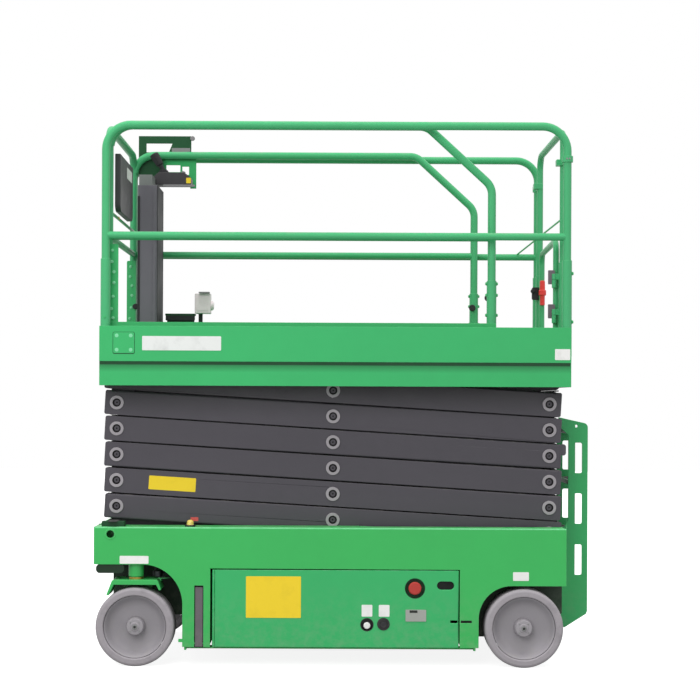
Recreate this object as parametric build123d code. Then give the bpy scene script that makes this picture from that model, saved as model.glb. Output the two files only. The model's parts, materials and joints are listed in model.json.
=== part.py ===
from build123d import *
import os
from math import asin, cos, degrees, hypot, radians, sin

# Self-propelled scissor lift, stored lowered. Millimetres, +Z up. The origin is on the
# ground under the middle of the overall box: -X is the steered front end, +X the ladder end.

# ---------------------------------------------------------------- driving dimensions
HALF_WIDTH = 575.0        # over the tyres and the platform's toe boards
FRONT_X = -1224.5         # front face of the chassis
REAR_X = 1063.5           # rear face of the chassis
LADDER_X = 1224.5         # outer edge of the ladder's side plates
CHASSIS_BOTTOM = 95.0
CHASSIS_TOP = 675.0
SIDE_Y = 567.0            # outer face of the chassis side plates
PLATE = 8.0               # chassis plate thickness

AXLE_Z = 190.5            # also the tyre's radius
FRONT_AXLE_X = -1025.0
REAR_AXLE_X = 859.5
TYRE_WIDTH = 127.0
WHEEL_Y = HALF_WIDTH - TYRE_WIDTH / 2
RIM_R = 152.0
AXLE_R = 25.0

LEVELS = 6
PIVOT_X = 998.0           # the fixed pins, at the ladder end
BASE_PIN_Z = 639.0
PIN_PITCH = 127.5
ARM_LENGTH = 2137.0       # pin to pin
ARM_HEIGHT = 120.0
ARM_END = 59.0            # tube past its end pin
ARM_WALL = 6.0
OUTER_ARM_Y = (365.0, 425.0)
INNER_ARM_Y = (297.0, 357.0)
PIN_R = 20.0
BORE_R = 20.5
BOSS_R = 34.5
BOSS_FACE_Y = 431.0
ROLLER_R = 27.0
ROLLER_Y = (435.0, 470.0)
TRACK_Y = (433.0, 475.0)  # the channel that each roller runs in
TRACK_GAP = 1.0           # above and below the roller

TOP_PIN_Z = BASE_PIN_Z + LEVELS * PIN_PITCH
REST_ANGLE = degrees(asin(PIN_PITCH / ARM_LENGTH))
SLIDE_X = PIVOT_X - ARM_LENGTH * cos(radians(REST_ANGLE))

DECK_TOP = 1510.0
SKIRT_BOTTOM = 1360.0
SKIRT_SEAM = 1477.0
TOE_TOP = 1648.0
SKIRT_X = (-1201.5, 1082.5)
RAIL_TOP = 2625.0         # centre of the main top tubes
RAIL_R = 20.0
RAIL_BEND = 120.0
SIDE_RAIL_Y = 545.0
MID_RAIL_Z = 2089.0
POST_X = (-1176.0, 1063.0)
SOCKET_R = 24.0
SOCKET_TOP = 1975.0
EXT_RAIL_Y = 470.0
EXT_RAIL_TOP = 2635.0
EXT_X = (-1192.0, 725.0)
EXT_FLOOR = (1522.0, 1528.0)
EXT_TOE_TOP = 1671.0
EXT_SIDE_Y = 500.0
EXT_POST_X = (-1150.0, 705.0)

SIDES = {"left": -1, "right": 1}


# ---------------------------------------------------------------- shaping tools
def block(x, y, z):
    """A box between the two ends of each range."""
    size = [high - low for low, high in (x, y, z)]
    middle = [(high + low) / 2 for low, high in (x, y, z)]
    return Pos(*middle) * Box(*size)


def both_sides(y):
    """The range y and its mirror image."""
    return (y, (-y[1], -y[0]))


def on_side(side, y):
    """The range y, given for +Y, on the side asked for."""
    return y if side > 0 else (-y[1], -y[0])


def slab_xz(face, y):
    """A profile drawn in X and Z, made solid over the range y."""
    return extrude(Plane.XZ.offset(-y[1]) * face, y[1] - y[0])


def disc_y(x, z, radius, y):
    """A round bar along Y."""
    return slab_xz(Pos(x, z) * Circle(radius), y)


def disc_z(x, y, radius, z):
    """A round bar along Z."""
    return Pos(x, y, (z[0] + z[1]) / 2) * Cylinder(radius, z[1] - z[0])


def ring_y(x, z, outer, inner, y):
    """A flat ring or a tube along Y."""
    return slab_xz(Pos(x, z) * (Circle(outer) - Circle(inner)), y)


def bent_tube(points, bends, radius):
    """A round tube along straight runs joined by arcs."""
    path = FilletPolyline(*points, radius=bends)
    return sweep(Plane(points[0], z_dir=path % 0) * Circle(radius), path=path)


def polygon(*points):
    return make_face(Polyline(*points, close=True))


def turned(profile, x, y_out, side):
    """A wheel part: a profile of (radius, distance from the middle plane), turned about Y."""
    spun = revolve(polygon(*profile), Axis.Y)
    if side < 0:
        spun = mirror(spun, about=Plane.XZ)
    return Pos(x, side * y_out, AXLE_Z) * spun


def union(*pieces):
    """All the pieces fused."""
    whole = pieces[0]
    return whole + list(pieces[1:])


# ---------------------------------------------------------------- wheels and steering
TYRE_PROFILE = (
    (RIM_R, -63.5), (182.0, -63.5), (AXLE_Z, -54.0),
    (AXLE_Z, 54.0), (182.0, 63.5), (RIM_R, 63.5),
)
RIM_PROFILE = (
    (26.0, -48.0), (54.0, -48.0), (54.0, 4.0), (118.0, 14.0), (132.0, -40.0), (RIM_R, -40.0),
    (RIM_R, 52.0), (144.0, 52.0), (128.0, 26.0), (54.0, 22.0), (54.0, 44.0), (46.0, 50.0),
    (0.0, 50.0), (0.0, 40.0), (26.0, 40.0),
)
YOKE_Z = (395.0, 419.0)
KINGPIN_R = 30.0
HOUSING_R = 37.0
HOUSING_Z = (432.0, 493.0)
LEG_Y = (424.0, 440.0)
STEER_ARM_X = FRONT_AXLE_X + 100.0
STEER_ARM_Y = 470.0


def tyre(x, side):
    return turned(TYRE_PROFILE, x, WHEEL_Y, side)


def rim(x, side):
    return turned(RIM_PROFILE, x, WHEEL_Y, side)


def knuckle(side):
    """Kingpin, bent yoke plate over the tyre, inner leg, stub axle and wheel motor."""
    x = FRONT_AXLE_X
    low, high = YOKE_Z
    outline = polygon((x - 110.0, high), (x - 138.0, 346.0), (x - 128.0, 342.0), (x - 103.0, low),
                      (x + 103.0, low), (x + 117.0, 368.0), (x + 127.0, 372.0), (x + 110.0, high))
    shoulders = outline.vertices().filter_by(lambda v: abs(v.Y - high) < 1.0)
    yoke = slab_xz(fillet(shoulders, 14.0), on_side(side, (423.0, 569.0)))
    arm = block((x + 60.0, x + 118.0), on_side(side, (450.0, 490.0)), YOKE_Z)
    leg = slab_xz(
        polygon((x - 70.0, 400.0), (x - 62.0, 160.0), (x - 30.0, 120.0), (x + 30.0, 120.0),
                (x + 62.0, 160.0), (x + 70.0, 400.0)),
        on_side(side, LEG_Y),
    )
    axle_end = WHEEL_Y + 38.0
    return union(
        yoke,
        arm,
        leg,
        disc_z(x, side * WHEEL_Y, 34.0, (YOKE_Z[1] - 1.0, 430.0)),
        disc_z(x, side * WHEEL_Y, KINGPIN_R, (430.0, 480.0)),
        disc_y(x, AXLE_Z, AXLE_R, on_side(side, (LEG_Y[1], axle_end))),
        disc_y(x, AXLE_Z, 62.0, on_side(side, (352.0, LEG_Y[0]))),
    )


def steering_cylinder():
    """The fixed double-ended cylinder behind the front axle."""
    barrel = ring_y(STEER_ARM_X, 440.0, 28.0, 14.5, (-170.0, 170.0))
    ends = [ring_y(STEER_ARM_X, 440.0, 32.0, 14.5, y) for y in both_sides((150.0, 178.0))]
    feet = [block((STEER_ARM_X - 26.0, STEER_ARM_X + 26.0), y, (466.0, 493.0))
            for y in both_sides((152.0, 176.0))]
    return union(barrel, *ends, *feet)


def steering_rod():
    """The through rod, with an eye over each knuckle's arm."""
    rod = disc_y(STEER_ARM_X, 440.0, 14.0, (-452.0, 452.0))
    eyes = [disc_z(STEER_ARM_X, side * STEER_ARM_Y, 24.0, (427.0, 453.0)) for side in SIDES.values()]
    holes = [disc_z(STEER_ARM_X, side * STEER_ARM_Y, 11.0, (420.0, 460.0)) for side in SIDES.values()]
    return union(rod, *eyes) - holes


# ---------------------------------------------------------------- chassis
FRONT_ARCH = (-795.0, 493.0)      # its vertical edge and its top
REAR_ARCH = (640.0, 396.0)
FRONT_ARCH_R = 193.0
REAR_ARCH_R = 160.0
TRAY_X = (-660.0, 548.0)          # the opening for each swing-out tray
TRAY_Z = 474.0
WELL_FLOOR = (540.0, 548.0)
BEAM_WEB_Y = (475.0, 483.0)
TRACK_END_X = 60.0
GUARD_AXIS = (545.0, 89.5)        # y and z of each pothole guard's hinge
GUARD_PIN_R = 4.0
COLUMN_BOTTOM = 108.0             # over the folded guards
GUARD_X = (-770.0, 610.0)
REAR_BOX_Y = 425.0
WELL_Y = (297.0, 305.0)           # the inner walls of the front wheel wells
WELL_Z = 216.0                    # their lower edge
WELL_X = -1165.0                  # their front edge
TIE_DOWN = (-1145.0, 640.0)       # x and z of the round hole in each side plate


def arch_cutter(edge_x, top_z, radius, to_x):
    """What the wheel arch takes away: a rectangle with one round upper corner."""
    width = abs(to_x - edge_x)
    outline = Pos((edge_x + to_x) / 2, top_z - 300.0) * Rectangle(width, 600.0)
    inner = outline.vertices().filter_by(
        lambda v: abs(v.X - edge_x) < 1.0 and abs(v.Y - top_z) < 1.0)
    return fillet(inner, radius)


def side_plate(side):
    outline = polygon(
        (FRONT_X, CHASSIS_BOTTOM), (REAR_X, CHASSIS_BOTTOM),
        (REAR_X, CHASSIS_TOP), (FRONT_X, CHASSIS_TOP),
    )
    outline -= arch_cutter(FRONT_ARCH[0], FRONT_ARCH[1], FRONT_ARCH_R, FRONT_X - 50.0)
    outline -= arch_cutter(REAR_ARCH[0], REAR_ARCH[1], REAR_ARCH_R, REAR_X + 50.0)
    middle = sum(TRAY_X) / 2
    outline -= Pos(middle, TRAY_Z / 2) * Rectangle(TRAY_X[1] - TRAY_X[0], TRAY_Z)
    outline -= Pos(TIE_DOWN[0], TIE_DOWN[1]) * Circle(19.5)
    outline -= Pos(-715.0, 243.0) * Rectangle(44.0, 299.0)
    outline += Pos(-804.0, 126.0) * Rectangle(20.0, 16.0)
    outline -= Pos(580.0, 222.0) * Rectangle(54.0, 12.0)
    return slab_xz(outline, on_side(side, (SIDE_Y - PLATE, SIDE_Y)))


def bent_edges(shape, y, z, radius):
    """Rounds the long edges where a plate is bent, at one height on one side."""
    edges = shape.edges().filter_by(Axis.X).filter_by(
        lambda e: abs(e.center().Y - y) < 0.5 and abs(e.center().Z - z) < 0.5)
    return fillet(edges, radius)


def side_beam(side):
    """Top flange, web and roller channel behind one side plate, and the fixed pin's lug."""
    half_gap = ROLLER_R + TRACK_GAP
    lower = BASE_PIN_Z - half_gap
    upper = BASE_PIN_Z + half_gap
    inner_x = (FRONT_X + PLATE, REAR_X - PLATE)
    lug = block((950.0, 1046.0), on_side(side, (TRACK_Y[0], BEAM_WEB_Y[1])), (596.0, upper))
    return [
        block(inner_x, on_side(side, (BEAM_WEB_Y[0], SIDE_Y - PLATE)), (upper, CHASSIS_TOP)),
        block(inner_x, on_side(side, BEAM_WEB_Y), (WELL_FLOOR[0], upper)),
        block((inner_x[0], TRACK_END_X), on_side(side, TRACK_Y), (upper, CHASSIS_TOP)),
        block((inner_x[0], TRACK_END_X), on_side(side, TRACK_Y), (lower - PLATE, lower)),
        lug - disc_y(PIVOT_X, BASE_PIN_Z, BORE_R, on_side(side, (TRACK_Y[0] - 1.0, 460.0))),
    ]


def guard_hinges(side):
    """The ears that a pothole guard turns in, at both its ends."""
    y, z = GUARD_AXIS
    ears = []
    for x in ((GUARD_X[0] - 16.0, GUARD_X[0] - 6.0), (GUARD_X[1] + 6.0, GUARD_X[1] + 16.0)):
        ear = block(x, on_side(side, (y - 12.0, SIDE_Y - PLATE + 1.0)), (z - 10.0, 106.0))
        hole = Pos((x[0] + x[1]) / 2, side * y, z) * Rot(0, 90, 0) * Cylinder(GUARD_PIN_R + 0.5, 20.0)
        ears.append(ear - hole)
    return ears


def side_frame(side):
    """One side plate with its beam, the raised stops and the guard's ears."""
    # the lowered platform sits over the stops
    stop = block((-1190.0, -1080.0), on_side(side, (495.0, 545.0)), (CHASSIS_TOP - 1.0, 700.0))
    whole = union(side_plate(side), *side_beam(side), stop, *guard_hinges(side))
    return bent_edges(whole, side * SIDE_Y, CHASSIS_TOP, 7.0)


def column(x, side):
    """A box of plates between the well floor and the chassis bottom, at one end of a tray."""
    y = on_side(side, (190.0, SIDE_Y - PLATE))
    top = WELL_FLOOR[0]
    return [
        block((x[0], x[0] + PLATE), y, (COLUMN_BOTTOM, top)),
        block((x[1] - PLATE, x[1]), y, (COLUMN_BOTTOM, top)),
        block(x, y, (COLUMN_BOTTOM, COLUMN_BOTTOM + PLATE)),
    ]


def chassis_frame():
    """Everything between the side frames: well floor, keel walls, columns, front and rear boxes."""
    floor_x = (FRONT_X + PLATE, REAR_X - PLATE)
    inner = SIDE_Y - PLATE
    web = BEAM_WEB_Y[0]
    pieces = [
        block((FRONT_X, FRONT_X + PLATE), (-inner, inner), (FRONT_ARCH[1], CHASSIS_TOP)),
        block(floor_x, (-web, web), WELL_FLOOR),
        block((floor_x[0], FRONT_ARCH[0]), (-inner, inner), (FRONT_ARCH[1], FRONT_ARCH[1] + PLATE)),
        block((FRONT_ARCH[0] - PLATE, FRONT_ARCH[0]), (-WELL_Y[1], WELL_Y[1]), (CHASSIS_BOTTOM, 500.0)),
        block((FRONT_ARCH[0], REAR_ARCH[0]), (-190.0, 190.0), (CHASSIS_BOTTOM, CHASSIS_BOTTOM + PLATE)),
        block((REAR_X - PLATE, REAR_X), (-REAR_BOX_Y, REAR_BOX_Y), (130.0, WELL_FLOOR[1])),
        block((REAR_ARCH[0], REAR_X), (-REAR_BOX_Y, REAR_BOX_Y), (130.0, 138.0)),
        block((780.0, 915.0), (-REAR_BOX_Y, REAR_BOX_Y), (138.0, 250.0)),
    ]
    for y in both_sides((182.0, 190.0)):
        pieces.append(block((FRONT_ARCH[0], REAR_ARCH[0]), y, (CHASSIS_BOTTOM, WELL_FLOOR[0])))
    for y in both_sides(WELL_Y):
        wall = block((WELL_X, FRONT_ARCH[0] - 1.0), y, (WELL_Z, FRONT_ARCH[1] + 1.0))
        pieces.append(wall - disc_y(STEER_ARM_X, 440.0, 40.0, (y[0] - 1.0, y[1] + 1.0)))
    for y in both_sides((REAR_BOX_Y - PLATE, REAR_BOX_Y)):
        pieces.append(block((REAR_ARCH[0] - PLATE, REAR_X), y, (130.0, WELL_FLOOR[0])))
    for side in SIDES.values():
        pieces += column((FRONT_ARCH[0], TRAY_X[0]), side)
        pieces += column((TRAY_X[1], REAR_ARCH[0]), side)
        pieces += [
            block((REAR_X - PLATE, REAR_X), on_side(side, (web, inner)), (REAR_ARCH[1], WELL_FLOOR[0])),
            disc_z(FRONT_AXLE_X, side * WHEEL_Y, HOUSING_R, (HOUSING_Z[0], HOUSING_Z[1] + 2.0)),
            disc_y(REAR_AXLE_X, AXLE_Z, AXLE_R, on_side(side, (REAR_BOX_Y - 2.0, WHEEL_Y + 38.0))),
            disc_y(REAR_AXLE_X, AXLE_Z, 60.0, on_side(side, (REAR_BOX_Y - 2.0, REAR_BOX_Y + 12.0))),
        ]
    frame = union(*pieces)
    heel = slab_xz(polygon((REAR_X + 1.0, 129.0), (REAR_X + 1.0, 250.0), (REAR_X - 100.0, 129.0)),
                   (-REAR_BOX_Y - 1.0, REAR_BOX_Y + 1.0))
    kingpin_holes = [disc_z(FRONT_AXLE_X, side * WHEEL_Y, KINGPIN_R + 0.1, (420.0, 483.0))
                     for side in SIDES.values()]
    return frame - heel - kingpin_holes


def pothole_guard(side):
    """A folding bar under one side, turned down when the platform is up."""
    y, z = GUARD_AXIS
    plate = block(GUARD_X, on_side(side, (y - 66.0, y)), (z - 2.5, z + 2.5))
    lip = block(GUARD_X, on_side(side, (y - 66.0, y - 61.0)), (z - 9.0, z + 2.5))
    middle = (GUARD_X[0] + GUARD_X[1]) / 2
    length = GUARD_X[1] - GUARD_X[0] + 30.0
    pin = Pos(middle, side * y, z) * Rot(0, 90, 0) * Cylinder(GUARD_PIN_R, length)
    return union(plate, lip, pin)


def entry_ladder():
    """Two slotted side plates with treads between, bolted to the chassis rear plate."""
    outline = polygon(
        (REAR_X, 215.0), (1107.0, 143.0), (1219.0, 214.0), (LADDER_X, 230.0),
        (LADDER_X, 1178.0), (1075.0, 1211.0), (1075.0, 1168.0), (1125.0, 1120.0),
        (1125.0, 690.0), (1105.0, 655.0), (REAR_X, 640.0),
    )
    corner = outline.vertices().filter_by(lambda v: abs(v.X - LADDER_X) < 0.5 and v.Y > 1000.0)
    outline = fillet(corner, 24.0)
    outline -= Pos(1165.0, 1166.0) * Circle(7.0)
    for z in (1005.0, 748.0, 489.0):
        outline -= Pos(1176.0, z) * RectangleRounded(38.0, 154.0, 9.0)
    plates = [slab_xz(outline, y) for y in both_sides((199.0, 205.0))]
    treads = [
        block((1135.0, 1200.0), (-200.0, 200.0), (z - 12.0, z + 12.0))
        for z in (1137.0, 879.0, 621.0, 363.0)
    ]
    return union(plates[0], plates[1], *treads)


def warning_beacon():
    """The small flashing lamp on the side beam."""
    x, y = -762.0, -520.0
    return union(
        disc_z(x, y, 26.0, (CHASSIS_TOP, CHASSIS_TOP + 8.0)),
        disc_z(x, y, 21.0, (CHASSIS_TOP + 8.0, CHASSIS_TOP + 36.0)),
    )


# ---------------------------------------------------------------- swing-out trays
DOOR_X = (-640.0, 543.0)
DOOR_Z = (95.0, 470.0)
TRAY_HINGE = (-643.0, 559.0)
HAND_HOLE = (479.0, 397.0)
CUPS = ((99.0, 207.0, 30.0), (331.0, 383.0, 47.5))   # x, z and radius of the sunk knobs' cups
CUP_Y = 536.0


def tray(side):
    """Door plate with a shelf behind it, turning on its front edge."""
    outline = Pos(sum(DOOR_X) / 2, sum(DOOR_Z) / 2) * Rectangle(DOOR_X[1] - DOOR_X[0], DOOR_Z[1] - DOOR_Z[0])
    outline -= Pos(*HAND_HOLE) * SlotOverall(82.0, 39.0)
    outline -= Pos(520.0, 222.0) * Rectangle(34.0, 12.0)
    cups = []
    if side == SIDES["left"]:
        for x, z, radius in CUPS:
            outline -= Pos(x, z) * Circle(radius)
            cup = ring_y(x, z, radius + 4.0, radius, on_side(side, (CUP_Y, SIDE_Y - 1.0)))
            back = disc_y(x, z, radius + 4.0, on_side(side, (CUP_Y, CUP_Y + 4.0)))
            cups += [cup, back]
    door = slab_xz(outline, on_side(side, (SIDE_Y - PLATE, SIDE_Y)))
    shelf = block((DOOR_X[0] + 12.0, 462.0), on_side(side, (206.0, 559.0)), (104.0, 110.0))
    back = block((DOOR_X[0] + 12.0, 462.0), on_side(side, (206.0, 212.0)), (104.0, 170.0))
    hinge_x, hinge_y = TRAY_HINGE
    pin = disc_z(hinge_x, side * hinge_y, 8.0, DOOR_Z)
    return union(door, shelf, back, pin, *cups)


def battery_pack(side):
    """Four batteries in a row on one tray."""
    start, length, gap = -600.0, 252.0, 8.0
    cells = [
        block((start + i * (length + gap), start + i * (length + gap) + length),
              on_side(side, (240.0, 500.0)), (110.0, 385.0))
        for i in range(4)
    ]
    tray_foot = block((start, 432.0), on_side(side, (236.0, 504.0)), (110.0, 116.0))
    return union(tray_foot, *cells)


def hydraulic_unit(side):
    """Oil tank, pump motor and valve block on the other tray."""
    return union(
        block((-580.0, -120.0), on_side(side, (240.0, 500.0)), (110.0, 400.0)),
        Pos(70.0, side * 370.0, 240.0) * Rot(0, 90, 0) * Cylinder(85.0, 390.0),
        block((180.0, 420.0), on_side(side, (250.0, 480.0)), (110.0, 330.0)),
    )


# ---------------------------------------------------------------- scissor arms
CROSS_TUBE_R = 38.0
CROSS_TUBE_AT = 150.0       # from each end pin
END_BLOCK = 62.0            # solid tube around each pin
CYLINDER_LEVELS = {"lower": 1, "upper": 4}   # the inner arms that carry each barrel
BARREL_PIN_AT = 1500.0      # along the lower arm from its sliding end
ROD_PIN_AT = 650.0          # along the next arm up
BARREL_PIN_R = 25.0
LUG_TUBE = (60.0, 52.0)     # the rod lugs' tube: along and above the arm, from the rod's eye
LUG_TUBE_R = 30.0
LUG_Y = (32.0, 44.0)


def level_z(k):
    """The height of pin row k at rest: row 0 is on the chassis, row 6 under the platform."""
    return BASE_PIN_Z + k * PIN_PITCH


def arm_tube(y, along, corner=0.0):
    """One rectangular arm, closed at its ends, hollow between its pins."""
    start, end = along
    tube = block((start - ARM_END, end + ARM_END), y, (-ARM_HEIGHT / 2, ARM_HEIGHT / 2))
    if corner:
        tube = fillet(tube.edges().filter_by(Axis.Y), corner)
    middle = (start + end) / 2
    inside_y = (y[0] + ARM_WALL, y[1] - ARM_WALL)
    inside_z = (ARM_WALL - ARM_HEIGHT / 2, ARM_HEIGHT / 2 - ARM_WALL)
    for x in ((start + END_BLOCK, middle - END_BLOCK), (middle + END_BLOCK, end - END_BLOCK)):
        tube -= block(x, inside_y, inside_z)
    return tube


def outer_arms(level):
    """The outer pair, from their fixed-end pin at the lower right to the upper left."""
    pins = []
    for side in SIDES.values():
        y = on_side(side, OUTER_ARM_Y)
        arm = arm_tube(y, (-ARM_LENGTH, 0.0), corner=10.0)
        for x in (-ARM_LENGTH, -ARM_LENGTH / 2, 0.0):
            arm += disc_y(x, 0.0, BOSS_R, on_side(side, (OUTER_ARM_Y[1], BOSS_FACE_Y)))
            arm -= disc_y(x, 0.0, BORE_R, on_side(side, (OUTER_ARM_Y[1] - 6.0, BOSS_FACE_Y + 1.0)))
            inward = not (x == 0.0 and level == 1) and not (x == -ARM_LENGTH and level == LEVELS)
            if inward:
                arm += disc_y(x, 0.0, PIN_R, on_side(side, (290.0, OUTER_ARM_Y[0] + 1.0)))
                arm += disc_y(x, 0.0, 27.0, on_side(side, (284.0, 291.0)))
        if level == 1:
            arm += disc_y(0.0, 0.0, PIN_R, on_side(side, (OUTER_ARM_Y[1] - 8.0, 448.0)))
        if level == LEVELS:
            arm += disc_y(-ARM_LENGTH, 0.0, PIN_R, on_side(side, (OUTER_ARM_Y[1] - 8.0, ROLLER_Y[0] + 1.0)))
            arm += disc_y(-ARM_LENGTH, 0.0, ROLLER_R, on_side(side, ROLLER_Y))
        pins.append(arm)
    pair = pins[0] + pins[1]
    return Pos(PIVOT_X, 0.0, level_z(level - 1)) * Rot(0, REST_ANGLE, 0) * pair


def inner_arms(level):
    """The inner frame, from its sliding pin at the lower left to the upper right."""
    pieces = [arm_tube(y, (0.0, ARM_LENGTH), corner=25.0) for y in both_sides(INNER_ARM_Y)]
    inside_y = (-INNER_ARM_Y[0] - 1.0, INNER_ARM_Y[0] + 1.0)
    for x in (CROSS_TUBE_AT, ARM_LENGTH - CROSS_TUBE_AT):
        pieces.append(disc_y(x, 0.0, CROSS_TUBE_R, inside_y))
    if level in CYLINDER_LEVELS.values():
        pieces.append(disc_y(BARREL_PIN_AT, 0.0, BARREL_PIN_R, inside_y))
    if level - 1 in CYLINDER_LEVELS.values():
        tube_x, tube_z = ROD_PIN_AT + LUG_TUBE[0], LUG_TUBE[1]
        pieces.append(disc_y(tube_x, tube_z, LUG_TUBE_R, (-290.0, 290.0)))
        pieces += [block((tube_x - 40.0, tube_x + 40.0), y, (-40.0, 54.0)) for y in both_sides((284.0, 298.0))]
        lug = polygon((ROD_PIN_AT - 34.0, -20.0), (ROD_PIN_AT + 20.0, -34.0),
                      (tube_x + 24.0, tube_z - 10.0), (tube_x, tube_z + 26.0), (ROD_PIN_AT - 20.0, 30.0))
        pieces += [slab_xz(lug, y) for y in both_sides(LUG_Y)]
    frame = union(*pieces)
    bores = [ARM_LENGTH / 2, ARM_LENGTH] if level == 1 else [0.0, ARM_LENGTH / 2, ARM_LENGTH]
    for x in bores:
        frame -= [disc_y(x, 0.0, BORE_R, y) for y in both_sides((INNER_ARM_Y[0] - 1.0, INNER_ARM_Y[1] + 1.0))]
    if level == 1:
        for side in SIDES.values():
            frame += disc_y(0.0, 0.0, PIN_R, on_side(side, (INNER_ARM_Y[1] - 1.0, ROLLER_Y[0] + 1.0)))
            frame += disc_y(0.0, 0.0, ROLLER_R, on_side(side, ROLLER_Y))
    return Pos(SLIDE_X, 0.0, level_z(level - 1)) * Rot(0, -REST_ANGLE, 0) * frame


# ---------------------------------------------------------------- lift cylinders
ROD_R = 22.0
BARREL_R = 38.0
HEAD_R = 42.0
HEAD_FROM_EYE = 112.0       # from the rod's eye, closed
ROD_INSIDE = 430.0          # of the rod in the barrel, closed


def cylinder_ends(which):
    """The barrel pin and the rod eye at rest, as (x, z)."""
    k = CYLINDER_LEVELS[which]
    slope = radians(REST_ANGLE)
    base = (SLIDE_X + BARREL_PIN_AT * cos(slope), level_z(k - 1) + BARREL_PIN_AT * sin(slope))
    eye = (SLIDE_X + ROD_PIN_AT * cos(slope), level_z(k) + ROD_PIN_AT * sin(slope))
    return base, eye


def along_cylinder(which, shape):
    """Places a shape, drawn along -X from the barrel pin, on the cylinder's own line."""
    base, eye = cylinder_ends(which)
    tilt = degrees(asin((eye[1] - base[1]) / hypot(base[0] - eye[0], eye[1] - base[1])))
    return Pos(base[0], 0.0, base[1]) * Rot(0, tilt, 0) * shape


def bar_x(x, radius):
    """A round bar along X, through the local origin."""
    return Pos((x[0] + x[1]) / 2, 0, 0) * Rot(0, 90, 0) * Cylinder(radius, x[1] - x[0])


def cylinder_length():
    base, eye = cylinder_ends("lower")
    return hypot(base[0] - eye[0], base[1] - eye[1])


def lift_barrel(which):
    head = HEAD_FROM_EYE - cylinder_length()
    body = union(
        disc_y(0.0, 0.0, 46.0, (-40.0, 40.0)),
        bar_x((head + 40.0, -20.0), BARREL_R),
        bar_x((head, head + 42.0), HEAD_R),
    )
    body -= bar_x((head - 1.0, -90.0), ROD_R + 1.0)
    body -= disc_y(0.0, 0.0, BARREL_PIN_R + 0.5, (-41.0, 41.0))
    return along_cylinder(which, body)


def lift_rod(which):
    eye = -cylinder_length()
    inner_end = HEAD_FROM_EYE - cylinder_length() + ROD_INSIDE
    body = union(
        disc_y(eye, 0.0, 34.0, (-26.0, 26.0)),
        bar_x((eye + 20.0, inner_end), ROD_R),
    )
    body -= disc_y(eye, 0.0, 20.0, (-27.0, 27.0))
    return along_cylinder(which, body)


# ---------------------------------------------------------------- platform
LOWER_SKIRT_Y = 570.0
ENTRY_LEG_Y = 425.0               # the inverted U round the entry
SKIRT_PLATE = 4.0
DECK_PLATE = 6.0


def platform_deck():
    """Deck on its cross beams, the end plates, and the lugs for the top arms' fixed pins."""
    x0, x1 = SKIRT_X
    inner_y = LOWER_SKIRT_Y - SKIRT_PLATE
    web = BEAM_WEB_Y[0]
    under = DECK_TOP - DECK_PLATE
    pieces = [
        block((x0, x1), (-inner_y, inner_y), (under, DECK_TOP)),
        block((x1 - SKIRT_PLATE, x1), (-LOWER_SKIRT_Y, LOWER_SKIRT_Y), (SKIRT_BOTTOM, DECK_TOP)),
        block((x0, x0 + SKIRT_PLATE), (-web, web), (1482.0, DECK_TOP)),
    ]
    # toe boards between the entry's legs and the corner posts
    pieces += [block((ENTRY_X - 2.0, ENTRY_X + 2.0), y, (DECK_TOP - 1.0, TOE_TOP))
               for y in both_sides((ENTRY_LEG_Y + 23.0, SIDE_RAIL_Y - SOCKET_R - 2.0))]
    for x in (-700.0, -200.0, 300.0, 800.0):
        pieces.append(block((x, x + 40.0), (-web, web), (under - 12.0, under)))
    for side in SIDES.values():
        lug = polygon((950.0, under + 2.0), (950.0, 1400.0), (975.0, 1372.0),
                      (1021.0, 1372.0), (1046.0, 1400.0), (1046.0, under + 2.0))
        pieces += [
            slab_xz(lug, on_side(side, (363.0, 377.0))),
            disc_y(PIVOT_X, TOP_PIN_Z, PIN_R, on_side(side, (290.0, 380.0))),
            disc_y(PIVOT_X, TOP_PIN_Z, 27.0, on_side(side, (284.0, 291.0))),
        ]
    return union(*pieces)


def platform_side(side):
    """Toe board, stepped skirt below it, and the beam with the top roller's channel."""
    x0, x1 = SKIRT_X
    end = x1 - SKIRT_PLATE
    low, seam = SKIRT_BOTTOM, SKIRT_SEAM
    half_gap = ROLLER_R + TRACK_GAP
    lower, upper = TOP_PIN_Z - half_gap, TOP_PIN_Z + half_gap
    inner_y = LOWER_SKIRT_Y - SKIRT_PLATE
    under = DECK_TOP - DECK_PLATE
    flange = on_side(side, (TRACK_Y[0], BEAM_WEB_Y[0] + 2.0))
    pieces = [
        block((x0, x1), on_side(side, (HALF_WIDTH - 3.0, HALF_WIDTH)), (seam, TOE_TOP)),
        block((x0, x1), on_side(side, (570.0, HALF_WIDTH)), (TOE_TOP - 8.0, TOE_TOP)),
        block((x0, end), on_side(side, (inner_y, HALF_WIDTH)), (seam, seam + SKIRT_PLATE)),
        block((x0, end), on_side(side, (inner_y, LOWER_SKIRT_Y)), (low, seam + 1.0)),
        block((x0, end), on_side(side, (520.0, LOWER_SKIRT_Y)), (low, low + SKIRT_PLATE)),
        block((x0, x0 + SKIRT_PLATE), on_side(side, (BEAM_WEB_Y[0], LOWER_SKIRT_Y)), (low, under)),
        block((x0, end), on_side(side, (inner_y, HALF_WIDTH)), (under, DECK_TOP)),
        block((x0, end), on_side(side, BEAM_WEB_Y), (lower - 6.0, under)),
        block((x0, TRACK_END_X), flange, (lower - 6.0, lower)),
        block((x0, TRACK_END_X), flange, (upper, upper + 6.0)),
    ]
    rib_y = on_side(side, (BEAM_WEB_Y[1] - 1.0, inner_y + 1.0))
    for x in (-1100.0, -500.0, 100.0, 700.0):
        pieces.append(block((x, x + PLATE), rib_y, (low + 2.0, under)))
    return union(*pieces)


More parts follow.
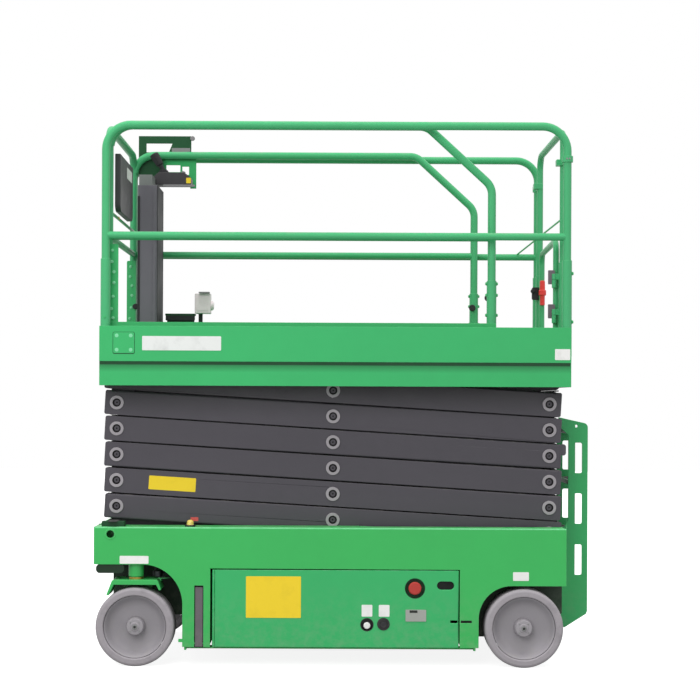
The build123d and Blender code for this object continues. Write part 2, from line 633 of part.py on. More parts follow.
def main_rail(side):
    """One side's inverted U of tube, with its mid rail and its two post sockets."""
    y = side * SIDE_RAIL_Y
    foot = DECK_TOP
    x0, x1 = POST_X
    corners = [(x0, y, SOCKET_TOP - 5.0), (x0, y, RAIL_TOP), (x1, y, RAIL_TOP), (x1, y, SOCKET_TOP - 5.0)]
    loop = bent_tube(corners, RAIL_BEND, RAIL_R)
    mid = Pos((x0 + x1) / 2, y, MID_RAIL_Z) * Rot(0, 90, 0) * Cylinder(18.0, x1 - x0)
    sockets = [disc_z(x, y, SOCKET_R, (foot, SOCKET_TOP)) for x in POST_X]
    collar = disc_z(POST_X[1], y, COLLAR_R, COLLAR_Z)
    return union(loop, mid, collar, *sockets)


COLLAR_Z = (2451.0, 2481.0)
COLLAR_R = 27.0
ENTRY_X = 1061.0
ENTRY_TOP = 2626.0
ENTRY_R = 17.0


def rear_rail():
    """The inverted U round the entry, clamped to both rear posts, with its hinge blocks."""
    x, y = ENTRY_X, ENTRY_LEG_Y
    foot = SOCKET_TOP - 5.0
    loop = bent_tube([(x, -y, foot), (x, -y, ENTRY_TOP), (x, y, ENTRY_TOP), (x, y, foot)], 80.0, ENTRY_R)
    pieces = [loop]
    for side in SIDES.values():
        pieces += [
            disc_z(x, side * y, 21.0, (DECK_TOP, SOCKET_TOP)),
            block((x - 36.0, x + 14.0), on_side(side, (y - 20.0, y + 24.0)), COLLAR_Z),
            block((x - 12.0, x + 12.0), on_side(side, (y + 20.0, SIDE_RAIL_Y - COLLAR_R - 0.2)), COLLAR_Z),
        ]
    hinge_x, hinge_y = GATE_HINGE
    for z in GATE_HINGE_Z:
        pieces += [
            block((hinge_x - 6.0, x), (-y - 6.0, -y + 6.0), (z + 1.0, z + 30.0)),
            disc_z(hinge_x, hinge_y, HINGE_R, (z + 1.0, z + 30.0)),
        ]
    return union(*pieces)


GATE_HINGE = (1018.0, -424.0)     # x and y of the hinge pins, inside the left leg
GATE_HINGE_Z = (1890.0, 1716.0)   # where each pair of knuckles meets
HINGE_R = 11.0
GATE_ENDS = ((1033.0, -385.0), (1067.0, 380.0))   # its two legs, in plan
GATE_Z = (1530.0, 2090.0)
GATE_R = 15.0


def entry_gate():
    """The half-height frame that swings in from the entry's left leg, with its toe plate."""
    (x0, y0), (x1, y1) = GATE_ENDS
    low, top = GATE_Z
    loop = bent_tube([(x0, y0, low), (x0, y0, top), (x1, y1, top), (x1, y1, low)], 60.0, GATE_R)
    toe = Pos((x0 + x1) / 2, (y0 + y1) / 2, (low + TOE_TOP) / 2) * Rot(
        0, 0, degrees(-asin((x1 - x0) / hypot(x1 - x0, y1 - y0)))) * Box(
        6.0, hypot(x1 - x0, y1 - y0), TOE_TOP - low)
    pieces = [loop, toe]
    hinge_x, hinge_y = GATE_HINGE
    for z in GATE_HINGE_Z:
        pieces += [
            disc_z(hinge_x, hinge_y, HINGE_R, (z - 38.0, z)),
            block((hinge_x - 4.0, hinge_x + 4.0), (hinge_y + 4.0, y0), (z - 38.0, z)),
            block((hinge_x - 4.0, x0), (y0 - 8.0, y0 + 8.0), (z - 38.0, z)),
        ]
    return union(*pieces)


def extension_deck():
    """The roll-out floor with its toe boards on three sides."""
    x0, x1 = EXT_X
    y = EXT_SIDE_Y
    pieces = [
        block((x0, x1), (-y, y), EXT_FLOOR),
        block((x0 - 6.0, x0), (-y, y), (EXT_FLOOR[0], EXT_TOE_TOP)),
    ]
    for wall in both_sides((y - 3.0, y)):
        pieces.append(block((x0 - 1.0, x1), wall, (EXT_FLOOR[0], EXT_TOE_TOP)))
    return union(*pieces)


EXT_SLOPE = ((385.0, EXT_RAIL_TOP), (705.0, 2342.0))


def extension_rail(side):
    """Top rail from the front corner, down a slope to the rear post, and a mid rail."""
    y = side * EXT_RAIL_Y
    (slope_x, _), (post_x, slope_z) = EXT_SLOPE
    foot = EXT_FLOOR[1]
    path = [(EXT_POST_X[0], y, EXT_RAIL_TOP), (slope_x, y, EXT_RAIL_TOP), (post_x, y, slope_z), (post_x, y, foot)]
    loop = bent_tube(path, 90.0, RAIL_R)
    mid = Pos((EXT_POST_X[0] + post_x) / 2, y, MID_RAIL_Z) * Rot(0, 90, 0) * Cylinder(16.0, post_x - EXT_POST_X[0])
    sleeve = disc_z(post_x, y, SOCKET_R, (foot, 1880.0))
    return union(loop, mid, sleeve)


def extension_front():
    """The front posts with the rails across between them."""
    x, y = EXT_POST_X[0], EXT_RAIL_Y
    foot = EXT_FLOOR[1]
    top = EXT_RAIL_TOP - 10.0
    loop = bent_tube([(x - 20.0, -y, foot), (x - 20.0, -y, top), (x - 20.0, y, top), (x - 20.0, y, foot)], 90.0, RAIL_R)
    mid = disc_y(x - 20.0, MID_RAIL_Z, 16.0, (-y, y))
    return union(loop, mid)


def front_panel():
    """The dark folder case hung on the front rail."""
    panel = block((-1146.0, -1118.0), (-450.0, 30.0), (2216.0, 2500.0))
    lower = panel.edges().filter_by(Axis.X).sort_by(Axis.Z)[:2]
    return fillet(lower, 40.0)


def control_column():
    """The tall dark case in the front right corner."""
    column = block((-1108.0, -1002.0), (150.0, 440.0), (EXT_FLOOR[1], 2428.0))
    column = fillet(column.edges().filter_by(Axis.Z), 6.0)
    cap = block((-1104.0, -1034.0), (170.0, 320.0), (2427.0, 2486.0))
    return union(column, cap)


def control_box():
    """The operator's control case inside the right rail."""
    outline = polygon((-1044.0, 2456.0), (-842.0, 2456.0), (-842.0, 2494.0), (-879.0, 2522.0), (-1020.0, 2522.0),
                      (-1044.0, 2500.0))
    case = slab_xz(outline, (330.0, 440.0))
    return fillet(case.edges().filter_by(Axis.Y), 6.0)


def control_guard():
    """The bracket round the control case, with its hoop above the top rail."""
    frame = polygon((-1146.0, 2520.0), (-1146.0, 2745.0), (-856.0, 2745.0), (-856.0, 2640.0),
                    (-828.0, 2620.0), (-828.0, 2456.0), (-861.0, 2456.0), (-861.0, 2520.0))
    frame -= polygon((-1103.0, 2656.0), (-1103.0, 2704.0), (-960.0, 2704.0), (-980.0, 2656.0))
    frame -= polygon((-993.0, 2547.0), (-993.0, 2585.0), (-916.0, 2585.0), (-916.0, 2547.0))
    frame -= polygon((-905.0, 2532.0), (-905.0, 2577.0), (-868.0, 2577.0), (-868.0, 2532.0))
    return slab_xz(frame, (490.5, 496.5))


def socket_box():
    """The mains socket on its stub at the extension's edge."""
    return union(
        block((-823.0, -737.0), (370.0, 440.0), (1761.0, 1870.0)),
        block((-806.0, -784.0), (415.0, 435.0), (EXT_FLOOR[1], 1765.0)),
    )


# ---------------------------------------------------------------- every node
def all_nodes():
    nodes = {
        "chassis_frame": chassis_frame(),
        "entry_ladder": entry_ladder(),
        "warning_beacon": warning_beacon(),
        "steering_cylinder": steering_cylinder(),
        "steering_rod": steering_rod(),
        "battery_pack": battery_pack(SIDES["right"]),
        "hydraulic_unit": hydraulic_unit(SIDES["left"]),
        "platform_deck": platform_deck(),
        "rear_rail": rear_rail(),
        "entry_gate": entry_gate(),
        "extension_deck": extension_deck(),
        "extension_front_rail": extension_front(),
        "front_panel": front_panel(),
        "control_column": control_column(),
        "control_box": control_box(),
        "control_guard": control_guard(),
        "socket_box": socket_box(),
    }
    for name, side in SIDES.items():
        nodes["knuckle_" + name] = knuckle(side)
        nodes["pothole_guard_" + name] = pothole_guard(side)
        nodes["tray_" + name] = tray(side)
        nodes["side_frame_" + name] = side_frame(side)
        nodes["platform_side_" + name] = platform_side(side)
        nodes["main_rail_" + name] = main_rail(side)
        nodes["extension_rail_" + name] = extension_rail(side)
        for end, x in (("front", FRONT_AXLE_X), ("rear", REAR_AXLE_X)):
            nodes[f"tyre_{end}_{name}"] = tyre(x, side)
            nodes[f"rim_{end}_{name}"] = rim(x, side)
    for level in range(1, LEVELS + 1):
        nodes[f"outer_arms_{level}"] = outer_arms(level)
        nodes[f"inner_arms_{level}"] = inner_arms(level)
    for which in CYLINDER_LEVELS:
        nodes[which + "_barrel"] = lift_barrel(which)
        nodes[which + "_rod"] = lift_rod(which)
    return nodes


os.makedirs("parts", exist_ok=True)
for node, shape in all_nodes().items():
    export_step(shape, f"parts/{node}.step")
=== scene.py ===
import bpy
import json
from math import asin, cos, hypot, pi, radians, sin
from mathutils import Matrix, Vector


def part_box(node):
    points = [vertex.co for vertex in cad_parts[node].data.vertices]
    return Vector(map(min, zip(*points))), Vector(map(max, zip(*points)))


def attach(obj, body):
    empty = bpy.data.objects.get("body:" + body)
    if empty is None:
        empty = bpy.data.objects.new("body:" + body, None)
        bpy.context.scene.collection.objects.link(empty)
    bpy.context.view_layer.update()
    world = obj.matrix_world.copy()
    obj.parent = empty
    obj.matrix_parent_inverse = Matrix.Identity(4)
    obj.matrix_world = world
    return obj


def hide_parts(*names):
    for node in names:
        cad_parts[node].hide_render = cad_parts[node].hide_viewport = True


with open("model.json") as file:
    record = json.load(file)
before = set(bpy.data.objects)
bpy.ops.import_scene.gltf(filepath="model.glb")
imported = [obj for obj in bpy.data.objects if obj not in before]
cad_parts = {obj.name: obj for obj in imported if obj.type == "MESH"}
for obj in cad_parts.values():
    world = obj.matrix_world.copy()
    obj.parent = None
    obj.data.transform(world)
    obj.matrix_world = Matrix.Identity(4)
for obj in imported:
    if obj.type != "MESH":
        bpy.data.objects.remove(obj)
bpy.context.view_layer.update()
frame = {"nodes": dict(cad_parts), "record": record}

# ------------------------ camera
# A long lens square to the machine's left side, a little above the middle of its height.
camera_data = bpy.data.cameras.new("camera")
camera_data.lens = 79.8
camera_data.sensor_width = 36.0
camera_data.shift_x = 0.0286
camera_data.shift_y = 0.0693
camera = bpy.data.objects.new("camera", camera_data)
eye, level_gaze, roll = (-0.0845, -8.075, 1.3006), radians(90.0), radians(0.25)
camera.matrix_world = (Matrix.Translation(eye) @ Matrix.Rotation(level_gaze, 4, "X")
                       @ Matrix.Rotation(roll, 4, "Z"))
bpy.context.collection.objects.link(camera)
bpy.context.scene.camera = camera

# ------------------------ studio
# A pale floor under an even white sky, a broad soft lamp on the camera's side and a wide soft sun
# from above, which lights every height alike. Paint renders about as it is mixed.
bpy.context.scene.view_settings.view_transform = "Standard"


def pick(*pieces):
    """Leaves edit mode, selects these pieces alone and makes the last one active."""
    if bpy.context.object and bpy.context.object.mode != "OBJECT":
        bpy.ops.object.mode_set(mode="OBJECT")
    bpy.ops.object.select_all(action="DESELECT")
    for piece in pieces:
        piece.select_set(True)
        bpy.context.view_layer.objects.active = piece


def node_material(name):
    """A new material with its nodes and its Principled shader."""
    material = bpy.data.materials.new(name)
    material.use_nodes = True
    nodes = material.node_tree.nodes
    return material, nodes, nodes["Principled BSDF"]


def wire(output, socket):
    """Links an output to an input of the same node tree, which each socket knows."""
    output.id_data.links.new(output, socket)


def arithmetic(operation, first, *others):
    """A Math node on an output and more numbers or outputs."""
    step = first.id_data.nodes.new("ShaderNodeMath")
    step.operation = operation
    wire(first, step.inputs[0])
    for socket, value in zip(step.inputs[1:], others):
        if isinstance(value, float):
            socket.default_value = value
        else:
            wire(value, socket)
    return step.outputs[0]


pick()
bpy.ops.mesh.primitive_plane_add(size=40.0, location=(0.0, 0.0, 0.0))
floor = bpy.context.object
floor.name = "studio_floor"
bpy.ops.object.mode_set(mode="EDIT")
bpy.ops.mesh.subdivide(number_cuts=3)
bpy.ops.object.mode_set(mode="OBJECT")
floor_paint, nodes, shader = node_material("studio_floor")
shader.inputs["Base Color"].default_value = (0.34, 0.34, 0.34, 1.0)
shader.inputs["Roughness"].default_value = 0.9
shader.inputs["Specular IOR Level"].default_value = 0.1
shader.inputs["Emission Color"].default_value = (1.0, 1.0, 1.0, 1.0)
rays = nodes.new("ShaderNodeLightPath").outputs
wire(arithmetic("MULTIPLY", rays["Is Camera Ray"], 0.88), shader.inputs["Emission Strength"])
floor.data.materials.append(floor_paint)

sky = bpy.data.worlds.new("studio_sky")
bpy.context.scene.world = sky
sky.use_nodes = True
nodes = sky.node_tree.nodes
backdrop = nodes["Background"]
backdrop.inputs["Color"].default_value = (1.0, 1.0, 1.0, 1.0)
backdrop.inputs["Strength"].default_value = 0.72
plain_white = nodes.new("ShaderNodeBackground")
plain_white.inputs["Color"].default_value = (1.0, 1.0, 1.0, 1.0)
plain_white.inputs["Strength"].default_value = 1.0
rays = nodes.new("ShaderNodeLightPath").outputs
seen = arithmetic("MAXIMUM", arithmetic("MAXIMUM", rays["Is Camera Ray"], rays["Is Glossy Ray"]),
                  rays["Is Transmission Ray"])
choice = nodes.new("ShaderNodeMixShader")
wire(seen, choice.inputs["Fac"])
wire(backdrop.outputs[0], choice.inputs[1])
wire(plain_white.outputs[0], choice.inputs[2])
wire(choice.outputs[0], nodes["World Output"].inputs["Surface"])

for name, kind, place, aim, power, softness, amount in (
    ("front_lamp", "AREA", (-2.5, -6.0, 4.5), (0.0, 0.0, 1.2), 208.0, "size", 4.0),
    ("top_sun", "SUN", (0.0, -0.7, 7.0), (0.0, 0.0, 1.0), 2.7, "angle", radians(36.0)),
):
    lamp_data = bpy.data.lights.new(name, kind)
    lamp_data.energy = power
    setattr(lamp_data, softness, amount)
    lamp = bpy.data.objects.new(name, lamp_data)
    lamp.location = place
    lamp.rotation_euler = (Vector(aim) - Vector(place)).to_track_quat("-Z", "Y").to_euler()
    lamp.visible_glossy = False
    bpy.context.collection.objects.link(lamp)

# ------------------------ chassis
# Welded steel plate, sprayed in bright green enamel. Its edges are ground round before painting, so each is a
# narrow bevel here, with a painted highlight in patches along it. The paint gathers dust on what faces up. Painted
# shade darkens the wheel wells, the underside and the parts of the side frames that rise above their tops at the
# front.
CHASSIS_GREEN = (0.206, 0.677, 0.336)
PLATFORM_GREEN = (0.19, 0.662, 0.38)


def linear(colour):
    """Screen values from 0 to 1 as the linear values, with an alpha, that a shader takes."""
    return tuple(c / 12.92 if c <= 0.04045 else ((c + 0.055) / 1.055) ** 2.4 for c in colour) + (1.0,)


def own_place(nodes):
    """The piece's own coordinates, which move with it."""
    return nodes.new("ShaderNodeTexCoord").outputs["Object"]


def mix_colours(mask, low, high):
    """A Mix node between two colours or colour outputs, by a mask."""
    mix = mask.id_data.nodes.new("ShaderNodeMix")
    mix.data_type = "RGBA"
    wire(mask, mix.inputs["Factor"])
    for socket, colour in ((mix.inputs["A"], low), (mix.inputs["B"], high)):
        if isinstance(colour, tuple):
            socket.default_value = colour
        else:
            wire(colour, socket)
    return mix.outputs["Result"]


def stretched(value, low, high, to_low=0.0, to_high=1.0):
    """Maps the range low to high onto another, held at its ends."""
    step = value.id_data.nodes.new("ShaderNodeMapRange")
    for socket, number in zip(("From Min", "From Max", "To Min", "To Max"), (low, high, to_low, to_high)):
        step.inputs[socket].default_value = number
    wire(value, step.inputs["Value"])
    return step.outputs["Result"]


def cloudy(place, scale, detail=3.0, roughness=0.5):
    """Noise on the piece's own coordinates."""
    noise = place.id_data.nodes.new("ShaderNodeTexNoise")
    noise.inputs["Scale"].default_value = scale
    noise.inputs["Detail"].default_value = detail
    noise.inputs["Roughness"].default_value = roughness
    wire(place, noise.inputs["Vector"])
    return noise.outputs["Fac"]


def parts(vector):
    """The X, Y and Z outputs of a vector."""
    split = vector.id_data.nodes.new("ShaderNodeSeparateXYZ")
    wire(vector, split.inputs[0])
    return split.outputs


def effect_group(name, inputs, outputs):
    """An empty shader node group with named sockets, and its two ends."""
    group = bpy.data.node_groups.new(name, "ShaderNodeTree")
    for socket, kind in inputs:
        group.interface.new_socket(socket, in_out="INPUT", socket_type=kind)
    for socket, kind in outputs:
        group.interface.new_socket(socket, in_out="OUTPUT", socket_type=kind)
    return group, group.nodes.new("NodeGroupInput"), group.nodes.new("NodeGroupOutput")


# weathering: the paint's cloudy tone, pale dust on what faces up, splashes near the ground
weathering, given, made = effect_group(
    "weathering",
    (("Colour", "NodeSocketColor"), ("Tone", "NodeSocketFloat"), ("Dust", "NodeSocketFloat")),
    (("Colour", "NodeSocketColor"), ("Dust", "NodeSocketFloat")),
)
nodes = weathering.nodes
place = own_place(nodes)
broad = cloudy(place, 1.3, 4.0, 0.55)
fine = cloudy(place, 14.0, 3.0)
swing = arithmetic("ADD", stretched(broad, 0.3, 0.7, -1.0, 1.0), stretched(fine, 0.3, 0.7, -0.4, 0.4))
shade = nodes.new("ShaderNodeHueSaturation")
wire(arithmetic("MULTIPLY_ADD", swing, given.outputs["Tone"], 1.0), shade.inputs["Value"])
wire(given.outputs["Colour"], shade.inputs["Color"])
upward = stretched(parts(nodes.new("ShaderNodeNewGeometry").outputs["Normal"])["Z"], 0.3, 0.95)
splash = stretched(parts(place)["Z"], 0.42, 0.06, 0.0, 0.55)
specks = stretched(cloudy(place, 23.0, 6.0, 0.7), 0.42, 0.66)
reach = arithmetic("MAXIMUM", upward, splash)
dust = arithmetic("MULTIPLY", arithmetic("MULTIPLY", reach, specks), given.outputs["Dust"])
wire(mix_colours(dust, shade.outputs["Color"], linear((0.62, 0.61, 0.57))), made.inputs["Colour"])
wire(dust, made.inputs["Dust"])

# edge wear and painted highlight: the thin bright line where a hand, strap or shoe polishes an edge, and, with a
# wider radius, a painted highlight where light catches an edge
edge_rub_and_highlight, given, made = effect_group(
    "edge_rub_and_highlight", (("Radius", "NodeSocketFloat"),), (("Mask", "NodeSocketFloat"),))
nodes = edge_rub_and_highlight.nodes
place = own_place(nodes)
rounded = nodes.new("ShaderNodeBevel")
rounded.samples = 4
wire(given.outputs["Radius"], rounded.inputs["Radius"])
turn = nodes.new("ShaderNodeVectorMath")
turn.operation = "DOT_PRODUCT"
wire(rounded.outputs["Normal"], turn.inputs[0])
wire(nodes.new("ShaderNodeNewGeometry").outputs["Normal"], turn.inputs[1])
edge = stretched(turn.outputs["Value"], 0.985, 0.86)
patches = stretched(cloudy(place, 31.0, 5.0, 0.65), 0.45, 0.62)
wire(arithmetic("MULTIPLY", edge, patches), made.inputs["Mask"])

# spray: the low ripple that a spray gun leaves, as a height and a change of gloss
spray, given, made = effect_group(
    "spray", (("Ripple", "NodeSocketFloat"),),
    (("Height", "NodeSocketFloat"), ("Gloss", "NodeSocketFloat")))
nodes = spray.nodes
place = own_place(nodes)
peel = cloudy(place, 420.0, 2.0)
waves = cloudy(place, 16.0, 2.0)
both = arithmetic("MULTIPLY_ADD", waves, 0.7, peel)
wire(arithmetic("MULTIPLY", both, given.outputs["Ripple"]), made.inputs["Height"])
wire(stretched(cloudy(place, 5.0, 4.0), 0.3, 0.7), made.inputs["Gloss"])


def placed_group(nodes, group, **values):
    """The group as a node, with plain numbers or colours on its inputs."""
    node = nodes.new("ShaderNodeGroup")
    node.node_tree = group
    for socket, value in values.items():
        node.inputs[socket].default_value = value
    return node


def bumped(shader, height, distance):
    """Raises the shader's surface by a height from 0 to 1, over a distance in metres."""
    bump = height.id_data.nodes.new("ShaderNodeBump")
    bump.inputs["Distance"].default_value = distance
    wire(height, bump.inputs["Height"])
    wire(bump.outputs["Normal"], shader.inputs["Normal"])


def enamel(name, colour, rub_and_highlight_colour, gloss=(0.3, 0.42), tone=0.035, dust=0.35, rub_and_highlight=0.0025, ripple=1.0):
    """Sprayed paint over metal. A paler edge colour shows along its edges where they are rubbed bare, and, with a
    wide edge radius, as a painted highlight where light catches them.
    """
    material, nodes, shader = node_material(name)
    worn = placed_group(nodes, weathering, Colour=linear(colour), Tone=tone, Dust=dust)
    edges = placed_group(nodes, edge_rub_and_highlight, Radius=rub_and_highlight)
    skin = placed_group(nodes, spray, Ripple=ripple)
    wire(mix_colours(arithmetic("MULTIPLY", edges.outputs["Mask"], 0.55), worn.outputs["Colour"], linear(rub_and_highlight_colour)),
         shader.inputs["Base Color"])
    polish = stretched(skin.outputs["Gloss"], 0.0, 1.0, *gloss)
    wire(arithmetic("ADD", polish, arithmetic("MULTIPLY", worn.outputs["Dust"], 0.5)), shader.inputs["Roughness"])
    bumped(shader, skin.outputs["Height"], 0.00025)
    return material


# painted highlight: the wide edge radius makes the chassis edges paler, as well as rubbed
chassis_enamel = enamel("chassis_enamel", CHASSIS_GREEN, (0.56, 0.84, 0.64), rub_and_highlight=0.0045)
platform_enamel = enamel("platform_enamel", PLATFORM_GREEN, (0.6, 0.84, 0.7))

SMOOTH_UP_TO, SHARP, COPLANAR = radians(32.0), radians(38.0), radians(0.4)
MERGED, LONG_EDGE, OUTER_SIDE = 0.00002, 1.0, 0.42
body_of_node = {node: body for body, nodes in frame["record"]["behaviour"]["bodies"].items() for node in nodes}


def own_copy(source):
    """A free copy with a mesh of its own, without the source's parent and tags."""
    copy = source.copy()
    copy.data = source.data.copy()
    for key in list(copy.keys()):
        del copy[key]
    copy.parent = None
    copy.matrix_world = Matrix.Identity(4)
    bpy.context.collection.objects.link(copy)
    return copy


def softened(piece, width, steps, sharpest=SMOOTH_UP_TO, clamped=True):
    """Bevels the active piece's edges that turn more than sharpest, and shades it smooth
    round them and flat between them. Without a width it is only shaded."""
    if width:
        bevel = piece.modifiers.new("eased_edges", "BEVEL")
        bevel.width = width
        bevel.segments = steps
        bevel.limit_method = "ANGLE"
        bevel.angle_limit = sharpest
        bevel.use_clamp_overlap = clamped
        bpy.ops.object.modifier_apply(modifier="eased_edges")
    bpy.ops.object.shade_smooth_by_angle(angle=SMOOTH_UP_TO)
    if width:
        flat = piece.modifiers.new("flat_faces", "WEIGHTED_NORMAL")
        flat.keep_sharp = True
        flat.weight = 100
        bpy.ops.object.modifier_apply(modifier="flat_faces")


def eased(node, material, width=0.0015, steps=2, bend=0.0):
    """Stands for a CAD node: the same form, its faces merged and its edges eased by a bevel.
    bend rounds the edges longer than a metre more, as a folded or rolled section is."""
    piece = own_copy(frame["nodes"][node])
    piece.name = node + "_finished"
    pick(piece)
    bpy.ops.object.mode_set(mode="EDIT")
    bpy.ops.mesh.select_all(action="SELECT")
    bpy.ops.mesh.remove_doubles(threshold=MERGED)
    bpy.ops.mesh.dissolve_limited(angle_limit=COPLANAR)
    if bend:
        bpy.ops.mesh.select_all(action="DESELECT")
        bpy.ops.mesh.select_mode(type="EDGE")
        bpy.ops.object.mode_set(mode="OBJECT")
        for side in piece.data.edges:
            ends = [piece.data.vertices[index].co for index in side.vertices]
            side.select = (ends[0] - ends[1]).length > LONG_EDGE and abs(ends[0].y) > OUTER_SIDE
        bpy.ops.object.mode_set(mode="EDIT")
        bpy.ops.mesh.bevel(offset=bend, segments=3, affect="EDGES")
    bpy.ops.object.mode_set(mode="OBJECT")
    softened(piece, width, steps, SHARP, False)
    piece.data.materials.clear()
    piece.data.materials.append(material)
    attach(piece, body_of_node[node])
    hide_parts(node)
    return piece


# painted shade: a dark green for the wheel wells and the underside, where shade falls, with dust on it as well
under_shade_enamel = enamel("under_shade_enamel", (0.05, 0.165, 0.085), (0.2, 0.34, 0.24), gloss=(0.5, 0.65), tone=0.06,
                      dust=0.6)
# painted shade: a dark green for faces and thin sheets that stand in shade
shade_enamel = enamel("shade_enamel", (0.035, 0.24, 0.12), (0.06, 0.28, 0.15), gloss=(0.5, 0.65), dust=0.05,
                      rub_and_highlight=0.0005)
# painted highlight: a paler green for the rounded top edges of the sides, where light catches them
painted_highlight_enamel = enamel("painted_highlight_enamel", (0.4, 0.78, 0.52), (0.56, 0.84, 0.64), dust=0.2, rub_and_highlight=0.0045)
UNDER_SHADE, SHADE, EDGE = 1, 2, 3
SIDE_TOP, STOP_TOP, WELL_ROOF = 0.664, 0.675, 0.56
STOP_END, WELLS_START = -1.05, 1.05
for node in ("chassis_frame", "side_frame_left", "side_frame_right"):
    is_side = node != "chassis_frame"
    frame_piece = eased(node, chassis_enamel, 0.0018, 3, 0.0045 if is_side else 0.0)
    for paint in (under_shade_enamel, shade_enamel, painted_highlight_enamel):
        frame_piece.data.materials.append(paint)
    for face in frame_piece.data.polygons:
        spot, slant = face.center, face.normal
        inside = abs(spot.y) < (0.556 if is_side else 0.47)
        # painted highlight along the rounded top edges of the sides
        if spot.z > SIDE_TOP and slant.z > 0.2 and abs(spot.y) > 0.555:
            face.material_index = EDGE
        # painted shade on the side frames' raised front ends
        if is_side and spot.z > STOP_TOP and spot.x < STOP_END:
            face.material_index = SHADE
        # painted shade on the inner faces of the wheel wells and on the underside
        hidden = abs(slant.y) > 0.4 or slant.z < -0.4 or abs(spot.x) < WELLS_START
        if inside and spot.z < WELL_ROOF and hidden:
            face.material_index = UNDER_SHADE

# ------------------------ chassis fittings
# Blank vinyl plates stuck on the left side and, on both sides, the grey link of the fold-out guard in its slot,
# rubber on the raised stops and a flange round the tie-down hole. The slot's inside is a dark sheet of painted
# shade, and the hole's floor is painted in shade.
LEFT = (0.0, -1.0, 0.0)
UP = (0.0, 0.0, 1.0)
SIDES = (("left", -1.0), ("right", 1.0))
FLUSH = 0.00001


def finished(piece, name, body, centre, facing, edge):
    """Closes the edit of a new piece: turns its faces outward, puts it in its place in its mesh,
    eases its edges and makes it ride."""
    bpy.ops.mesh.select_all(action="SELECT")
    bpy.ops.mesh.normals_make_consistent(inside=False)
    pick(piece)
    piece.name = name
    turn = Vector(facing).to_track_quat("Z", "Y").to_matrix().to_4x4() if facing else Matrix.Identity(4)
    piece.data.transform(Matrix.Translation(centre) @ turn)
    softened(piece, edge, 2)
    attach(piece, body)
    return piece


def plate(name, body, slot, material, centre, size, facing, thick=0.0008, corner=0.004, edge=0.0003, sides=4):
    """A flat plate with round corners, lying on a surface that looks along facing."""
    pick()
    bpy.ops.mesh.primitive_plane_add(size=1.0)
    piece = bpy.context.object
    piece.data.materials.append(material)
    bpy.ops.object.mode_set(mode="EDIT")
    bpy.ops.mesh.select_all(action="SELECT")
    bpy.ops.transform.resize(value=(size[0], size[1], 1.0))
    bpy.ops.mesh.bevel(offset=corner, segments=sides, affect="VERTICES")
    bpy.ops.mesh.extrude_region_move(TRANSFORM_OT_translate={"value": (0.0, 0.0, thick)})
    return finished(piece, name, body, centre, facing, edge)


def stepped(name, body, materials, centre, facing, radius, steps, sides=32, edge=0.0004):
    """A turned piece: a disc drawn out in steps of (rise, new radius). A second material goes
    on its last face. A cup, whose steps end below its start, is open at its mouth."""
    pick()
    bpy.ops.mesh.primitive_circle_add(vertices=sides, radius=radius, fill_type="NGON")
    piece = bpy.context.object
    for material in materials:
        piece.data.materials.append(material)
    bpy.ops.object.mode_set(mode="EDIT")
    bpy.ops.mesh.select_all(action="SELECT")
    now = radius
    for rise, reach in steps:
        bpy.ops.mesh.extrude_region_move(TRANSFORM_OT_translate={"value": (0.0, 0.0, rise)})
        bpy.ops.transform.resize(value=(reach / now, reach / now, 1.0))
        now = reach
    if len(materials) > 1:
        piece.active_material_index = 1
        bpy.ops.object.material_slot_assign()
    if sum(rise for rise, reach in steps) < 0.0:
        bpy.ops.object.mode_set(mode="OBJECT")
        for face in piece.data.polygons:
            face.select = abs(face.center.z) < FLUSH and len(face.vertices) == sides
        bpy.ops.object.mode_set(mode="EDIT")
        bpy.ops.mesh.select_mode(type="FACE")
        bpy.ops.mesh.delete(type="ONLY_FACE")
    return finished(piece, name, body, centre, facing, edge)


def repeated(master, name, moves):
    """Copies of a finished piece, each with its own mesh moved by one of moves, as one piece
    with the first."""
    copies = [own_copy(master) for move in moves]
    for copy, move in zip(copies, moves):
        copy.data.transform(Matrix.Translation(move))
    pick(*copies, master)
    bpy.ops.object.join()
    master.name = name
    return master


def bolts(name, body, material, places, facing, across=0.016):
    """Hexagon heads on washers, one at each place on a face that looks along facing."""
    washer = stepped(name + "_washer", body, [material], places[0], facing, across * 0.72,
                     ((across * 0.14, across * 0.72),), 20, across * 0.02)
    head = stepped(name, body, [material], places[0], facing, across * 0.56,
                   ((across * 0.5, across * 0.56), (across * 0.07, across * 0.46)), 6, across * 0.02)
    pick(washer, head)
    bpy.ops.object.join()
    return repeated(head, name, [Vector(place) - Vector(places[0]) for place in places[1:]])


def vinyl(name, colour, gloss=0.38, soil=0.5):
    """Printed film, a little soiled, with dirt caught along its surface in cloudy patches."""
    material, nodes, shader = node_material(name)
    place = own_place(nodes)
    patches = stretched(cloudy(place, 18.0, 5.0, 0.6), 0.5, 0.75, 0.0, soil * 0.45)
    grime = tuple(0.55 * c + 0.06 for c in colour)
    wire(mix_colours(patches, linear(colour), linear(grime)), shader.inputs["Base Color"])
    wire(stretched(patches, 0.0, 0.3, gloss, gloss + 0.25), shader.inputs["Roughness"])
    bumped(shader, cloudy(place, 160.0, 2.0), 0.00005)
    return material


def moulded(name, colour, gloss=(0.45, 0.6), grain=900.0):
    """Moulded plastic or rubber with a fine sparked grain."""
    material, nodes, shader = node_material(name)
    place = own_place(nodes)
    worn = placed_group(nodes, weathering, Colour=linear(colour), Tone=0.05, Dust=0.25)
    wire(worn.outputs["Colour"], shader.inputs["Base Color"])
    wire(stretched(cloudy(place, 9.0, 4.0), 0.3, 0.7, *gloss), shader.inputs["Roughness"])
    bumped(shader, cloudy(place, grain, 2.0), 0.0002)
    return material


